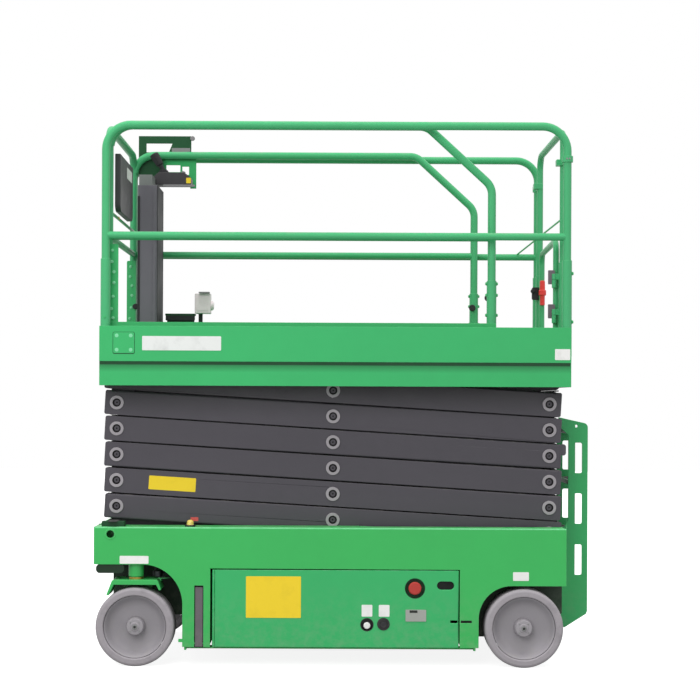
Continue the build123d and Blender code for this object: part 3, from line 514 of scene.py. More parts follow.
def bare_metal(name, colour, gloss=(0.28, 0.45), across=(1.0, 1.0, 14.0)):
    """Machined or plated metal, with fine lines one way."""
    material, nodes, shader = node_material(name)
    shader.inputs["Metallic"].default_value = 1.0
    place = own_place(nodes)
    squeezed = nodes.new("ShaderNodeVectorMath")
    squeezed.operation = "MULTIPLY"
    squeezed.inputs[1].default_value = across
    wire(place, squeezed.inputs[0])
    lines = cloudy(squeezed.outputs[0], 90.0, 4.0, 0.6)
    dull = tuple(c * 0.8 for c in colour)
    wire(mix_colours(stretched(lines, 0.35, 0.7), linear(colour), linear(dull)), shader.inputs["Base Color"])
    wire(stretched(lines, 0.3, 0.7, *gloss), shader.inputs["Roughness"])
    bumped(shader, lines, 0.00008)
    return material


white_vinyl = vinyl("white_vinyl", (0.9, 0.9, 0.89))
yellow_vinyl = vinyl("yellow_vinyl", (0.91, 0.79, 0.135), soil=0.25)
black_plastic = moulded("black_plastic", (0.11, 0.11, 0.12))
shadow_black = moulded("shadow_black", (0.035, 0.037, 0.04), (0.7, 0.85), 500.0)
link_grey = moulded("link_grey", (0.375, 0.352, 0.372), (0.4, 0.55), 300.0)
dark_rubber = moulded("dark_rubber", (0.17, 0.17, 0.18), (0.65, 0.8), 500.0)
zinc = bare_metal("zinc_plating", (0.66, 0.67, 0.66))
SIDE = -0.567
plate("chassis_label_front", "chassis", "chassis_green", white_vinyl, (-1.029, SIDE, 0.516), (0.14, 0.038), LEFT)
plate("chassis_label_rear", "chassis", "chassis_green", white_vinyl, (0.8435, SIDE, 0.443), (0.077, 0.042), LEFT)
for side, sign in SIDES:
    outward = (0.0, sign, 0.0)
    for name, paint, centre, size, facing, *shape in (
        ("guard_slot_", shadow_black, (-0.715, sign * 0.556, 0.2435), (0.05, 0.304), outward, 0.001, 0.003),
        ("guard_link_", link_grey, (-0.715, sign * 0.557, 0.24), (0.037, 0.288), outward, 0.004, 0.003, 0.001),
        ("stop_pad_", dark_rubber, (-1.135, sign * 0.52, 0.7), (0.044, 0.104), UP, 0.002, 0.006, 0.0008),
    ):
        plate(name + side, "chassis", "black_case", paint, centre, size, facing, *shape)
    # painted shade on the hole's floor, its last face
    stepped("tie_down_ring_" + side, "chassis", [chassis_enamel, under_shade_enamel],
            (-1.145, sign * 0.566, 0.64), outward, 0.027, ((0.003, 0.0255), (0.0, 0.019), (-0.014, 0.0185)), 40)

# ------------------------ wheels
# Solid non-marking rubber with round shoulders, bonded on dished steel rims that are turned in
# many small steps. Each hub carries a painted cap, a plated nut and four rivets.
def rubber(name, colour):
    """Pale non-marking rubber: scuffs, road dirt low down and fine moulding grain."""
    material, nodes, shader = node_material(name)
    place = own_place(nodes)
    worn = placed_group(nodes, weathering, Colour=linear(colour), Tone=0.05, Dust=0.15)
    scuffs = stretched(cloudy(place, 11.0, 7.0, 0.68), 0.52, 0.7, 0.0, 0.4)
    dark = tuple(c * 0.74 for c in colour)
    wire(mix_colours(scuffs, worn.outputs["Colour"], linear(dark)), shader.inputs["Base Color"])
    wire(stretched(scuffs, 0.0, 0.4, 0.68, 0.85), shader.inputs["Roughness"])
    bumped(shader, cloudy(place, 260.0, 4.0, 0.6), 0.0004)
    return material


tyre_rubber = rubber("tyre_rubber", (0.6, 0.58, 0.6))
rim_enamel = enamel("rim_enamel", (0.575, 0.56, 0.58), (0.74, 0.74, 0.74), gloss=(0.45, 0.58), tone=0.05,
                    dust=0.3, ripple=0.7)
DISH_STEPS = (
    (0.044, 0.054), (0.006, 0.1), (-0.05, 0.126), (0.0, 0.1505), (0.1005, 0.1505), (0.0015, 0.149),
    (-0.003, 0.1455), (-0.012, 0.1395), (-0.012, 0.132), (-0.009, 0.124), (-0.006, 0.114),
    (-0.0035, 0.1), (-0.002, 0.08), (-0.001, 0.056), (0.002, 0.048), (0.0277, 0.044),
    (0.012, 0.04), (0.0015, 0.0385))
DISH_BACK, HUB_FACE, RIVET_CIRCLE = 0.4635, 0.56, 0.03
for end in ("front", "rear"):
    for side, sign in SIDES:
        where, outward = f"{end}_{side}", (0.0, sign, 0.0)
        body = "wheel_" + where
        eased("tyre_" + where, tyre_rubber, 0.007, 4)
        low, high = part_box("tyre_" + where)
        middle = (Vector(low) + Vector(high)) / 2
        dish = stepped("rim_dish_" + where, body, [rim_enamel],
                       (middle.x, sign * DISH_BACK, middle.z), outward, 0.054, DISH_STEPS, 96, 0.0)
        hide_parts("rim_" + where)
        face = Vector((middle.x, sign * HUB_FACE, middle.z))
        stepped("hub_cap_" + where, body, [rim_enamel], face, outward, 0.0385,
                ((0.0014, 0.0385), (0.0012, 0.0345), (0.0, 0.0225), (0.0022, 0.0205), (0.0012, 0.019)), 40)
        stepped("hub_nut_" + where, body, [zinc, dark_rubber], face + Vector((0.0, sign * 0.0055, 0.0)),
                outward, 0.0128, ((0.0045, 0.0128), (0.0008, 0.0115), (0.0, 0.0072), (-0.002, 0.0068)), 6)
        for index in range(4):
            turn = pi / 4 + index * pi / 2
            rivet_at = face + Vector((RIVET_CIRCLE * cos(turn), sign * 0.002, RIVET_CIRCLE * sin(turn)))
            stepped(f"hub_rivet_{where}_{index}", body, [zinc], rivet_at, outward, 0.0034,
                    ((0.0012, 0.0034), (0.0008, 0.0024)), 12, 0.0002)

# ------------------------ steering
# Bent yoke plates on kingpins that turn in a brass thrust ring, with the legs that carry the wheel motors, the
# double-ended steering cylinder and its dark rod, and the axle's gussets. The rod's dark steel and the gussets'
# dark green are painted shade.
brass = bare_metal("thrust_brass", (0.8, 0.7, 0.36), (0.35, 0.5), (6.0, 6.0, 1.0))
KINGPIN_X, MOTOR_Z, BOLT_CIRCLE = -1.025, 0.1905, 0.048
for side, sign in SIDES:
    eased("knuckle_" + side, chassis_enamel, 0.0022, 3)
    eased("pothole_guard_" + side, chassis_enamel, 0.0012)
    stepped("thrust_ring_" + side, "knuckle_" + side, [brass], (KINGPIN_X, sign * 0.5115, 0.4192),
            UP, 0.0355, ((0.0045, 0.0355), (0.0008, 0.0345), (0.0045, 0.0345), (0.0006, 0.033)), 36)
    # painted shade: the gussets are in the dark underside green
    plate("axle_gusset_" + side, "chassis", "chassis_green", under_shade_enamel, (-1.147, sign * 0.549, 0.4715),
          (0.136, 0.043), (0.0, sign, 0.0), 0.009, 0.018, 0.001, 6)
    bolts("motor_bolts_" + side, "knuckle_" + side, zinc,
          [(KINGPIN_X + BOLT_CIRCLE * cos(turn), sign * 0.352, MOTOR_Z + BOLT_CIRCLE * sin(turn))
           for turn in (0.785, 2.356, 3.927, 5.498)], (0.0, -sign, 0.0), 0.013)
eased("steering_cylinder", black_plastic, 0.0015)
# painted shade: the rod is in dark steel for the shade of the wheel well around it
eased("steering_rod", bare_metal("rod_shade_steel", (0.3, 0.31, 0.32), (0.4, 0.55)), 0.0008)

# ------------------------ trays
# Swing-out doors of folded plate in a slightly bluer enamel, with a painted highlight along their edges. The left
# one holds the release knobs in black bezels, the red isolator in its cup, blank plates, a small screen and a hand
# hole. The hand hole, the latch slot, its keeper and the isolator's cup are painted shade.
# painted highlight: the wide edge radius makes the door edges paler, as well as rubbed
door_enamel = enamel("door_enamel", PLATFORM_GREEN, (0.52, 0.82, 0.64), rub_and_highlight=0.007)
for side, sign in SIDES:
    eased("tray_" + side, door_enamel, 0.004, 4)
    # dark sheets of painted shade in the hand hole, the latch slot and its keeper
    for name, body, spot, size, corner in (
        ("hand_hole_shade_", "tray_" + side, (0.479, 0.397), (0.088, 0.045), 0.02),
        ("latch_slot_shade_", "tray_" + side, (0.52, 0.222), (0.04, 0.018), 0.003),
        ("keeper_slot_shade_", "chassis", (0.58, 0.222), (0.058, 0.018), 0.003),
    ):
        plate(name + side, body, "black_case", shadow_black, (spot[0], sign * 0.5575, spot[1]), size,
              (0.0, sign, 0.0), 0.0014, corner)
eased("hydraulic_unit", black_plastic, 0.006, 3)
eased("battery_pack", black_plastic, 0.005, 3)
white_plastic = moulded("white_plastic", (0.86, 0.86, 0.85), (0.3, 0.42))
red_plastic = moulded("red_plastic", (0.68, 0.2, 0.17), (0.28, 0.4))
grey_plastic = moulded("grey_plastic", (0.5, 0.49, 0.5), (0.4, 0.5))
screen_glass = moulded("screen_glass", (0.1, 0.12, 0.11), (0.08, 0.14), 40.0)
tray, CUP_FLOOR = "tray_left", -0.5404
plate("tray_plate_yellow", tray, "chassis_green", yellow_vinyl, (-0.354, SIDE, 0.3385), (0.266, 0.201), LEFT)
for name, x in (("tray_label_1", 0.099), ("tray_label_2", 0.182)):
    plate(name, tray, "chassis_green", white_vinyl, (x, SIDE, 0.2745), (0.052, 0.057), LEFT)
meter_grey = moulded("meter_grey", (0.6, 0.61, 0.59), (0.35, 0.45))
METER_THICK = 0.0028
plate("tray_meter", tray, "light_grey", meter_grey, (0.3355, SIDE, 0.252), (0.1, 0.057), LEFT,
      METER_THICK, 0.003, 0.0006)
plate("tray_meter_screen", tray, "black_case", screen_glass, (0.324, SIDE - METER_THICK, 0.2715),
      (0.038, 0.012), LEFT, 0.0006, 0.002)
stepped("release_cup", tray, [black_plastic], (0.099, CUP_FLOOR, 0.207), LEFT, 0.0296,
        ((0.0012, 0.0296),), 40)
stepped("release_bezel", tray, [black_plastic, black_plastic], (0.099, -0.566, 0.207), LEFT, 0.0325,
        ((0.0022, 0.0318), (0.0, 0.0288), (-0.024, 0.0284)), 40)
stepped("release_knob", tray, [white_plastic], (0.099, -0.544, 0.202), LEFT, 0.01,
        ((0.01, 0.01), (0.001, 0.0155), (0.009, 0.017), (0.003, 0.015), (0.0015, 0.01)), 32, 0.0012)
stepped("pump_bezel", tray, [black_plastic, black_plastic], (0.179, SIDE, 0.21), LEFT, 0.031,
        ((0.0022, 0.0302), (0.0, 0.0215), (-0.0012, 0.0205)), 40)
stepped("pump_knob", tray, [dark_rubber], (0.179, SIDE, 0.2065), LEFT, 0.013,
        ((0.0025, 0.014), (0.003, 0.0155), (0.0012, 0.014)), 32, 0.0008)
# painted shade: the isolator cup's floor and wall
stepped("isolator_floor", tray, [shade_enamel], (0.331, CUP_FLOOR, 0.383), LEFT, 0.0472,
        ((0.001, 0.0472),), 48)
stepped("isolator_wall", tray, [shade_enamel, shade_enamel], (0.331, -0.5655, 0.383), LEFT, 0.049,
        ((0.002, 0.0488), (0.0, 0.0466), (-0.0245, 0.0464)), 48)
stepped("isolator_knob", tray, [red_plastic], (0.331, -0.541, 0.383), LEFT, 0.019,
        ((0.012, 0.018), (0.001, 0.03), (0.007, 0.0322), (0.005, 0.03), (0.002, 0.024)), 40, 0.0015)

# ------------------------ ladder and beacon
# Two slotted plates with folded treads, each with a grip strip, bolted to the rear. The warning
# lamp is a ribbed amber lens on a black foot.
eased("entry_ladder", platform_enamel, 0.0018, 3)
grip = moulded("grip_strip", (0.2, 0.2, 0.2), (0.8, 0.9), 350.0)
TREAD_PITCH = 0.258
rung = plate("ladder_grip", "chassis", "black_case", grip, (1.1675, 0.0, 0.375), (0.05, 0.37), UP, 0.001, 0.004)
repeated(rung, "ladder_grips", [Vector((0.0, 0.0, TREAD_PITCH * index)) for index in (1, 2, 3)])
for side, sign in SIDES:
    bolts("ladder_bolts_" + side, "chassis", zinc,
          [(1.085, sign * 0.205, z) for z in (0.3, 0.45, 0.58)], (0.0, sign, 0.0), 0.014)


def lens(name, colour):
    """Clear coloured plastic over a bright lamp."""
    material, nodes, shader = node_material(name)
    place = own_place(nodes)
    shader.inputs["Coat Weight"].default_value = 0.6
    shader.inputs["Transmission Weight"].default_value = 0.25
    streaks = cloudy(place, 60.0, 3.0)
    pale = tuple(min(1.0, 0.35 + 0.75 * c) for c in colour)
    wire(mix_colours(stretched(streaks, 0.35, 0.7), linear(colour), linear(pale)), shader.inputs["Base Color"])
    wire(stretched(streaks, 0.3, 0.7, 0.12, 0.25), shader.inputs["Roughness"])
    bumped(shader, streaks, 0.0003)
    return material


amber_lens = lens("amber_lens", (0.96, 0.8, 0.3))
stepped("beacon_foot", "chassis", [black_plastic], (-0.762, -0.52, 0.6745), UP, 0.026,
        ((0.007, 0.026), (0.0015, 0.0225)), 36, 0.001)
beacon = stepped("beacon_lens", "chassis", [amber_lens], (-0.762, -0.52, 0.6825), UP, 0.0175,
                 ((0.005, 0.0175), (0.001, 0.0164), (0.004, 0.017), (0.001, 0.016), (0.004, 0.0164),
                  (0.001, 0.0154), (0.003, 0.0148), (0.003, 0.0125), (0.002, 0.008), (0.001, 0.0035)), 36, 0.0004)
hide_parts("warning_beacon")

# ------------------------ scissor arms
# Welded box-section arms in dark grey enamel, with rubber pads between them. A pale boss ring with the recessed
# end of its pin shows at every joint, and the lift cylinders have chromed rods. The bores and the pins' hollow
# ends are painted dark as shade, and the outer arms of the top two levels carry painted shade towards the platform
# above them.
arm_enamel = enamel("arm_enamel", (0.277, 0.264, 0.292), (0.55, 0.54, 0.56), gloss=(0.34, 0.48), tone=0.05,
                    dust=0.45, rub_and_highlight=0.003)
chrome = bare_metal("rod_chrome", (0.86, 0.87, 0.88), (0.08, 0.16), (1.0, 12.0, 1.0))
boss_enamel = enamel("boss_enamel", (0.6, 0.58, 0.6), (0.78, 0.78, 0.78), gloss=(0.4, 0.5), tone=0.06, dust=0.2)
SLIDE_X, PIVOT_X, BASE_Z, PITCH = -1.1352, 0.998, 0.639, 0.1275
# painted shade: dark for the bores round the pins and the hollow ends of the pins
bore_shade = moulded("bore_shade", (0.085, 0.08, 0.088), (0.6, 0.75), 300.0)


def with_painted_shade(material, most, dark, **ranges):
    """Paints shade into a paint: it goes dark by most along each axis named in ranges, from the first to the
    second of its two places."""
    nodes = material.node_tree.nodes
    shader = nodes["Principled BSDF"]
    axes = parts(own_place(nodes))
    masks = [stretched(axes[axis], start, end, 0.0, most) for axis, (start, end) in ranges.items()]
    mask = masks[0] if len(masks) == 1 else arithmetic("MAXIMUM", *masks)
    painted = shader.inputs["Base Color"].links[0].from_socket
    wire(mix_colours(mask, painted, linear(dark)), shader.inputs["Base Color"])


# painted shade: the outer arms of the top two levels darken upward, toward the platform above them
shaded_arm_enamel = enamel("shaded_arm_enamel", (0.277, 0.264, 0.292), (0.4, 0.39, 0.41), gloss=(0.34, 0.48), tone=0.05,
                       dust=0.3, rub_and_highlight=0.003)
with_painted_shade(shaded_arm_enamel, 0.85, (0.15, 0.142, 0.155), Z=(1.2, 1.415))
ARM_LENGTH, HALF_DEPTH, BOSS_RADIUS, BORE_RADIUS = 2.137, 0.0599, 0.038, 0.0225
BOSS_FACE, BORE_FLOOR, BORE_MOUTH = 0.4262, 0.41, 0.4295
slope = asin(PITCH / ARM_LENGTH)
up_x, up_z = HALF_DEPTH * sin(slope), HALF_DEPTH * cos(slope)
for level in range(1, 7):
    inner, outer = f"inner_arms_{level}", f"outer_arms_{level}"
    foot_z = BASE_Z + (level - 1) * PITCH
    eased(inner, arm_enamel, 0.002, 3)
    pair = eased(outer, shaded_arm_enamel if level > 4 else arm_enamel, 0.0014, 3, 0.0055)
    pair.data.materials.append(boss_enamel)
    pair.data.materials.append(bore_shade)
    pins = (("slide", SLIDE_X, BASE_Z + level * PITCH),
            ("middle", (SLIDE_X + PIVOT_X) / 2, BASE_Z + (level - 0.5) * PITCH),
            ("fixed", PIVOT_X, foot_z))
    for face in pair.data.polygons:
        corners = [pair.data.vertices[index].co for index in face.vertices]
        reach = min(max(hypot(corner.x - x, corner.z - z) for corner in corners) for spot, x, z in pins)
        if abs(face.center.y) > BOSS_FACE and reach < BOSS_RADIUS:
            face.material_index = 1
        if reach < BORE_RADIUS and BORE_FLOOR < abs(face.center.y) < BORE_MOUTH:
            face.material_index = 2
    for side, sign in SIDES:
        for spot, x, z in pins:
            if (level, spot) in ((1, "fixed"), (6, "slide")):
                continue
            stepped(f"pin_end_{level}_{spot}_{side}", outer, [arm_enamel, bore_shade],
                    (x, sign * 0.4185, z), (0.0, sign, 0.0), 0.0135,
                    ((0.0035, 0.0135), (0.001, 0.0122), (0.0, 0.005), (-0.0025, 0.0045)), 24)
        if level < 6:
            for along in (0.025, 1.0685, 2.14):
                plate(f"rest_pads_{level}_{side}", inner, "black_case", dark_rubber,
                      (SLIDE_X + along * cos(slope) - up_x, sign * 0.327, foot_z + along * sin(slope) + up_z),
                      (0.052, 0.115), (-sin(slope), 0.0, cos(slope)), 0.0064, 0.006, 0.0008)
        if level in (1, 5):
            along = -0.02 if level == 1 else -2.112
            plate(f"end_pad_{level}_{side}", outer, "black_case", dark_rubber,
                  (PIVOT_X + along * cos(slope) + up_x, sign * 0.392, foot_z - along * sin(slope) + up_z),
                  (0.046, 0.115), (sin(slope), 0.0, cos(slope)), 0.0064, 0.006, 0.0008)
label_at = Vector((-0.86, -0.4252, 0.877))
arm_label = plate("arm_label", "outer_arms_2", "arm_grey", yellow_vinyl, label_at, (0.232, 0.068), LEFT)
arm_label.data.transform(Matrix.Translation(label_at) @ Matrix.Rotation(radians(3.42), 4, "Y")
                         @ Matrix.Translation(-label_at))
plate("arm_stop", "outer_arms_4", "arm_grey", arm_enamel, (1.066, -0.4, 1.052), (0.03, 0.056), LEFT,
      0.022, 0.013, 0.001, 3)
reflector_red = moulded("reflector_red", (0.8, 0.34, 0.33), (0.12, 0.2), 60.0)
plate("arm_reflector", "outer_arms_1", "amber", reflector_red, (-0.75, -0.4252, 0.703), (0.038, 0.019), LEFT,
      0.0016, 0.003)
for which in ("lower", "upper"):
    eased(which + "_barrel", arm_enamel, 0.0015, 3)
    eased(which + "_rod", chrome, 0.0008)

# ------------------------ platform
# Folded toe boards over a stepped skirt, with a bolted cover plate, blank vinyl plates and a dark strip of painted
# shadow in the seam, with painted shade on the skirt below it and a dark rim of painted shadow round the cover
# plate. Their outer skins stand 2 mm in, which leaves room for what is fixed on them.
# The floors are tread plate, painted with the rest.
def tread_plate(name, colour):
    """Painted floor plate with crossed raised bars, worn pale on top of them."""
    material, nodes, shader = node_material(name)
    place = own_place(nodes)
    bars = []
    for angle in (45.0, -45.0):
        turn = nodes.new("ShaderNodeMapping")
        turn.inputs["Rotation"].default_value = (0.0, 0.0, radians(angle))
        turn.inputs["Scale"].default_value = (38.0, 19.0, 1.0)
        wire(place, turn.inputs["Vector"])
        cells = nodes.new("ShaderNodeTexVoronoi")
        cells.inputs["Randomness"].default_value = 0.0
        wire(turn.outputs["Vector"], cells.inputs["Vector"])
        bars.append(stretched(cells.outputs["Distance"], 0.34, 0.22))
    raised = arithmetic("MAXIMUM", bars[0], bars[1])
    worn = placed_group(nodes, weathering, Colour=linear(colour), Tone=0.05, Dust=0.15)
    rubbed = arithmetic("MULTIPLY", raised, stretched(cloudy(place, 4.0, 5.0, 0.6), 0.45, 0.62, 0.1, 0.35))
    wire(mix_colours(rubbed, worn.outputs["Colour"], linear((0.56, 0.6, 0.57))), shader.inputs["Base Color"])
    shader.inputs["Roughness"].default_value = 0.5
    bumped(shader, raised, 0.0012)
    return material


floor_tread = tread_plate("floor_tread", (0.2, 0.55, 0.33))
pale_vinyl = vinyl("pale_vinyl", (0.86, 0.87, 0.86))
# painted shade: the skirt darkens upward toward the seam, under the toe board's overhang
skirt_enamel = enamel("skirt_enamel", PLATFORM_GREEN, (0.6, 0.84, 0.7), tone=0.05, dust=0.5)
with_painted_shade(skirt_enamel, 0.8, (0.05, 0.3, 0.16), Z=(1.425, 1.47))
eased("platform_deck", platform_enamel, 0.0015)
eased("extension_deck", platform_enamel, 0.0012)
for name, body, centre, size in (
    ("main_floor", "platform", (0.8975, 0.0, 1.51), (0.3, 1.03)),
    ("roll_out_floor", "extension", (-0.235, 0.0, 1.528), (1.9, 0.98)),
):
    plate(name, body, "platform_green", floor_tread, centre, size, UP, 0.0012, 0.004)
SKIRT_TOP, OUTER_SKIN, STEP_IN = 1.4765, 0.5705, 0.002
for side, sign in SIDES:
    panel = eased("platform_side_" + side, platform_enamel, 0.0012)
    for vertex in panel.data.vertices:
        if abs(vertex.co.y) > OUTER_SKIN:
            vertex.co.y -= sign * STEP_IN
    panel.data.materials.append(skirt_enamel)
    for face in panel.data.polygons:
        if face.center.z < SKIRT_TOP and abs(face.normal.y) > 0.5:
            face.material_index = 1
    # a dark strip of painted shadow under the toe board's lower edge
    plate("seam_shadow_" + side, "platform", "platform_green", shade_enamel, (-0.0605, sign * 0.57, 1.469),
          (2.276, 0.0156), (0.0, sign, 0.0), 0.0006, 0.001)
SKIN = -0.573
# painted highlight: screw and bolt heads in a paler green, for the light their heads catch
screw_highlight_enamel = enamel("screw_highlight_enamel", (0.46, 0.8, 0.6), (0.7, 0.9, 0.78), tone=0.05)
for name, paint, centre, size, *shape in (
    # a dark rim of painted shadow round the cover plate
    ("cover_gasket", shade_enamel, (-1.083, SKIN, 1.5655), (0.107, 0.107), 0.0003, 0.009),
    ("cover_plate", platform_enamel, (-1.083, SKIN, 1.5665), (0.102, 0.101), 0.0012, 0.007, 0.0006),
    ("platform_label_front", pale_vinyl, (-0.803, SKIN, 1.5645), (0.382, 0.069)),
    ("platform_label_rear", white_vinyl, (1.0395, SKIN, 1.5175), (0.074, 0.053)),
):
    plate(name, "platform", "platform_green", paint, centre, size, LEFT, *shape)
for x, z in ((-1.117, 1.601), (-1.049, 1.601), (-1.117, 1.532), (-1.049, 1.532)):
    stepped(f"cover_screw_{round(-x * 1000)}_{round(z * 1000)}", "platform", [screw_highlight_enamel],
            (x, SKIN - 0.0006, z), LEFT, 0.0092, ((0.0007, 0.0092), (0.0006, 0.007)), 20, 0.0003)

# ------------------------ guard rails
# Round steel tube bent over a former, sprayed with the platform. Posts stand in sleeves with
# through bolts, the roll-out rails lock with black knobs, and flat brackets hold the front post.
rail_enamel = enamel("rail_enamel", (0.245, 0.65, 0.42), (0.6, 0.84, 0.7))
for node in ("main_rail_left", "main_rail_right", "rear_rail", "extension_front_rail"):
    eased(node, rail_enamel, 0.0015)
# each roll-out rail turns down in a quarter bend onto the front rail's post
TUBE, BEND, BEND_X, AXIS_Z, TOP_TUBE_Z, RAIL_Y = 0.02, 0.11, -1.055, 2.525, 2.6, 0.47
for side, sign in SIDES:
    rail = eased("extension_rail_" + side, rail_enamel, 0.0015)
    tip = min(vertex.co.x for vertex in rail.data.vertices if vertex.co.z > TOP_TUBE_Z)
    for vertex in rail.data.vertices:
        if vertex.co.x < tip + 0.01 and vertex.co.z > TOP_TUBE_Z:
            vertex.co.x += BEND_X - tip
    elbow = stepped("rail_elbow_" + side, "extension", [rail_enamel], (0.0, 0.0, 0.0), None, TUBE,
                    ((0.018, TUBE),) * 9, 32, 0.0)
    for vertex in elbow.data.vertices:
        up, across, along = vertex.co
        turn = along / BEND
        vertex.co = (BEND_X - 0.001 - (BEND + up) * sin(turn), sign * RAIL_Y + across,
                     AXIS_Z + (BEND + up) * cos(turn))
for side, sign in SIDES:
    outward, rearward = (0.0, sign, 0.0), (1.0, 0.0, 0.0)
    for name, paint, facing, across, places in (
        ("entry_leg_bolts_", platform_enamel, outward, 0.014, [(1.061, 0.4455, z) for z in (1.95, 1.9, 1.69)]),
        ("rear_post_bolts_", platform_enamel, rearward, 0.014, [(1.0866, 0.545, z) for z in (1.912, 1.677)]),
        ("front_post_bolts_", platform_enamel, outward, 0.0088, [(-1.176, 0.5682, 1.69)]),
        ("collar_bolts_", zinc, outward, 0.0066, [(x, 0.571, 2.466) for x in (1.057, 1.07)]),
    ):
        bolts(name + side, "platform", paint, [(x, sign * y, z) for x, y, z in places], facing,
              across)
    for name, along in (("in", -1.0), ("out", 1.0)):
        bolts(f"roll_out_post_bolts_{name}_{side}", "extension", platform_enamel,
              [(0.705 + along * 0.0235, sign * RAIL_Y, z) for z in (1.866, 1.81, 1.712)], (along, 0.0, 0.0), 0.013)
    x, y = (-1.146, -0.4905) if side == "left" else (-1.178, 0.449)
    plate("front_bracket_" + side, "extension", "platform_green", platform_enamel, (x, y, 1.852), (0.05, 0.4),
          LEFT, 0.005, 0.008, 0.001)
    bolts("front_bracket_bolts_" + side, "extension", screw_highlight_enamel,
          [(x + aside, y - 0.005, z) for aside, z in (
              (-0.004, 2.02), (-0.006, 1.965), (0.004, 1.915), (0.004, 1.862), (0.0, 1.795), (-0.008, 1.735),
              (0.0, 1.69))], LEFT, 0.011)
KNOB = ((0.01, 0.009), (0.001, 0.017), (0.012, 0.0185), (0.003, 0.015))
SMALL_KNOB = ((0.01, 0.009), (0.001, 0.015), (0.01, 0.0165), (0.003, 0.013))
for name, x, y, inward, steps in (
    ("front_left", -1.152, -0.447, 1.0, KNOB), ("rear_left", 0.693, -0.447, 1.0, KNOB),
    ("rear_right", 0.693, 0.447, -1.0, KNOB), ("front_right", -1.152, 0.444, -1.0, SMALL_KNOB),
):
    stepped("lock_knob_" + name, "extension", [black_plastic], (x, y, 1.8), (0.0, inward, 0.0),
            0.009, steps, 24, 0.001)
stepped("entry_brace", "platform", [platform_enamel], (0.951, 0.527, 2.104),
        (0.1, -0.917, 0.083), 0.0045, ((0.02, 0.0045), (0.884, 0.0045), (0.016, 0.0045)), 16, 0.0)

# ------------------------ entry gate
# The half-height gate of bent tube with its toe plate. Dark hinge plates hold it to the entry's
# left leg, a black latch is bolted to the right one, and a red sleeve covers its lock.
eased("entry_gate", rail_enamel, 0.0012)
hinge_paint = enamel("hinge_paint", (0.42, 0.38, 0.41), (0.6, 0.58, 0.6), gloss=(0.4, 0.5), tone=0.06, dust=0.2)
for index, z in enumerate((1.9035, 1.7355)):
    plate(f"hinge_leaf_{index + 1}", "entry_gate", "steel", hinge_paint, (1.006, -0.415, z), (0.034, 0.07), LEFT,
          0.004, 0.004, 0.0006)
plate("gate_latch", "platform", "black_case", black_plastic, (1.036, 0.406, 1.8775), (0.042, 0.068), LEFT,
      0.022, 0.008, 0.0015)
stepped("gate_latch_bolt", "platform", [black_plastic], (1.018, 0.385, 1.89), LEFT, 0.012,
        ((0.008, 0.012), (0.001, 0.009), (0.01, 0.0085)), 24, 0.0008)
handle_red = moulded("handle_red", (0.88, 0.22, 0.2), (0.28, 0.4))
stepped("gate_handle", "entry_gate", [handle_red], (1.067, 0.356, 1.812), UP, 0.012,
        ((0.004, 0.0135), (0.045, 0.0135), (0.003, 0.015), (0.004, 0.0205), (0.024, 0.0205), (0.004, 0.015),
         (0.044, 0.014), (0.006, 0.011)), 28, 0.001)

# ------------------------ control end
# A folder case on the front rail, the folded column that carries the wiring, and the operator's control case with
# its joystick under a cut-plate guard. A pale mains socket stands on a stub. The column's faces that turn toward
# +X and the guard's upper frame and front end carry painted shade, and a dark strip of painted shadow runs down
# the column's front edge.
case_black = moulded("case_black", (0.2, 0.192, 0.204), (0.42, 0.55), 700.0)
column_enamel = enamel("column_enamel", (0.395, 0.385, 0.415), (0.6, 0.6, 0.6), gloss=(0.36, 0.48), tone=0.04,
                       dust=0.2)
# painted shade: a darker copy of the column's paint for its faces that turn toward +X
column_shade = enamel("column_shade", (0.15, 0.143, 0.16), (0.4, 0.4, 0.4), gloss=(0.6, 0.75), tone=0.04,
                      dust=0.1)
cap_grey = moulded("cap_grey", (0.45, 0.47, 0.46), (0.4, 0.55))
pale_grey = moulded("pale_grey_plastic", (0.9, 0.85, 0.865), (0.35, 0.5))
CAP_FOOT, PLUG_TOP = 2.4275, 1.7605
eased("front_panel", case_black, 0.004, 3)
for name, slot, paint, centre, size, *shape in (
    ("panel_window", "light_grey", white_vinyl, (-1.118, -0.115, 2.44), (0.19, 0.056), 0.001, 0.006),
    ("panel_sticker", "amber", yellow_vinyl, (-1.152, -0.25, 2.206), (0.04, 0.014), 0.0008, 0.003),
):
    plate(name, "extension", slot, paint, centre, size, (1.0, 0.0, 0.0), *shape)
stepped("panel_bar", "extension", [platform_enamel], (-1.16, -0.455, 2.206), (0.0, 1.0, 0.0),
        0.0075, ((0.02, 0.0075), (0.87, 0.0075), (0.02, 0.0075)), 20, 0.0)
column = eased("control_column", column_enamel, 0.0012)
column.data.materials.append(cap_grey)
column.data.materials.append(column_shade)
for face in column.data.polygons:
    if face.center.z > CAP_FOOT:
        face.material_index = 1
    elif face.normal.x > 0.35:
        face.material_index = 2
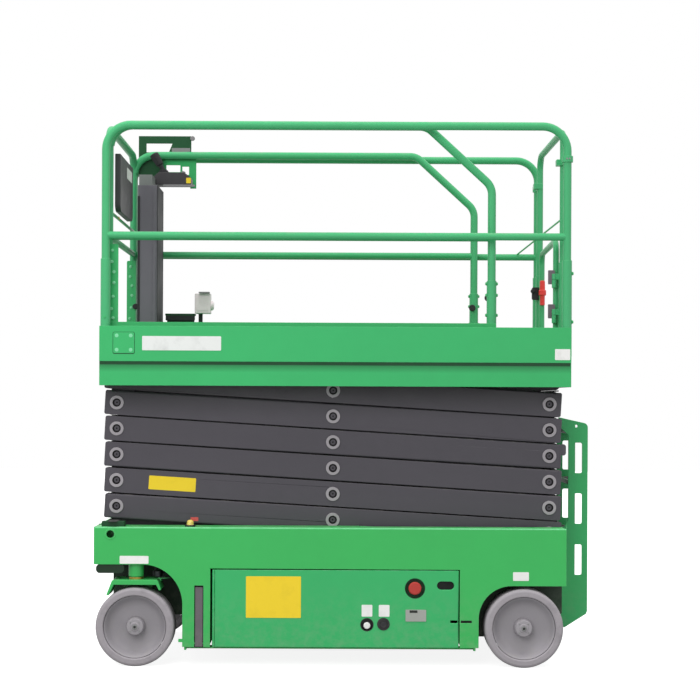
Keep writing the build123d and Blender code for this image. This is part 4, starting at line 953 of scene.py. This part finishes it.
# painted shade: the guard darkens toward its upper frame and its front end
guard_enamel = enamel("guard_enamel", PLATFORM_GREEN, (0.4, 0.64, 0.5), gloss=(0.5, 0.62), dust=0.1)
with_painted_shade(guard_enamel, 1.0, (0.02, 0.27, 0.13), Z=(2.6, 2.645), X=(-0.985, -1.02))
eased("control_box", case_black, 0.0025, 3)
eased("control_guard", guard_enamel, 0.0012)
socket = eased("socket_box", pale_grey, 0.004, 3)
socket.data.materials.append(dark_rubber)
for face in socket.data.polygons:
    if face.center.z < PLUG_TOP:
        face.material_index = 1
for name, slot, paint, centre, size, *shape in (
    ("column_fold", "column_grey", column_enamel, (-1.0185, 0.15, 1.975), (0.014, 0.88), 0.006, 0.004, 0.001),
    ("column_foot", "column_grey", column_enamel, (-1.055, 0.144, 1.546), (0.128, 0.036), 0.006, 0.004, 0.001),
    # a dark strip of painted shadow down the column's front edge
    ("column_trim", "black_case", dark_rubber, (-1.102, 0.1495, 2.02), (0.012, 0.7), 0.005, 0.004, 0.001),
    ("control_shelf", "light_grey", grey_plastic, (-0.908, 0.332, 2.45), (0.172, 0.012), 0.006, 0.004, 0.001),
    ("control_tag", "light_grey", yellow_vinyl, (-0.856, 0.33, 2.478), (0.025, 0.03), 0.0016, 0.003),
    ("guard_tag", "light_grey", grey_plastic, (-0.913, 0.4905, 2.6625), (0.102, 0.034), 0.001, 0.003),
    ("socket_rim", "light_grey", grey_plastic, (-0.77, 0.372, 1.8735), (0.06, 0.007), 0.03, 0.003, 0.001),
    ("socket_lid", "light_grey", pale_grey, (-0.783, 0.37, 1.814), (0.064, 0.074), 0.003, 0.006, 0.001),
    ("kick_guard", "platform_green", shade_enamel, (-0.904, 0.43, 1.755), (0.166, 0.012), 0.03, 0.004, 0.001),
    ("kick_guard_front", "black_case", dark_rubber, (-0.904, 0.402, 1.736), (0.16, 0.026), 0.006, 0.004, 0.001),
    ("kick_guard_leg", "black_case", dark_rubber, (-0.904, 0.429, 1.635), (0.15, 0.214), 0.004, 0.003, 0.001),
):
    plate(name, "extension", slot, paint, centre, size, LEFT, *shape)
bolts("column_bolts", "extension", zinc, [(-1.1, 0.138, 1.546), (-1.01, 0.138, 1.546)], LEFT, 0.012)
for name, slot, paint, centre, facing, radius, steps, sides, edge in (
    ("joystick_boot", "black_case", dark_rubber, (-0.996, 0.385, 2.521), UP, 0.032,
     ((0.004, 0.032), (0.001, 0.028), (0.006, 0.029), (0.001, 0.023), (0.006, 0.024), (0.001, 0.017),
      (0.006, 0.016)), 28, 0.0008),
    ("joystick", "black_case", black_plastic, (-0.996, 0.385, 2.538), (-0.52, 0.0, 0.85), 0.012,
     ((0.034, 0.013), (0.004, 0.02), (0.052, 0.025), (0.014, 0.024), (0.004, 0.016)), 28, 0.0012),
    ("control_switch", "black_case", cap_grey, (-0.893, 0.385, 2.5185), (0.35, 0.0, 0.94), 0.015,
     ((0.003, 0.015), (0.001, 0.0115), (0.012, 0.011), (0.002, 0.009)), 24, 0.0006),
    ("guard_knob", "light_grey", grey_plastic, (-0.848, 0.4895, 2.73), LEFT, 0.009,
     ((0.006, 0.009), (0.001, 0.0125), (0.008, 0.0135), (0.003, 0.011)), 24, 0.001),
    ("socket_hinge", "light_grey", pale_grey, (-0.737, 0.405, 1.805), (1.0, 0.0, 0.0), 0.026,
     ((0.01, 0.026), (0.002, 0.021), (0.004, 0.02)), 28, 0.001),
):
    stepped(name, "extension", [paint], centre, facing, radius, steps, sides, edge)
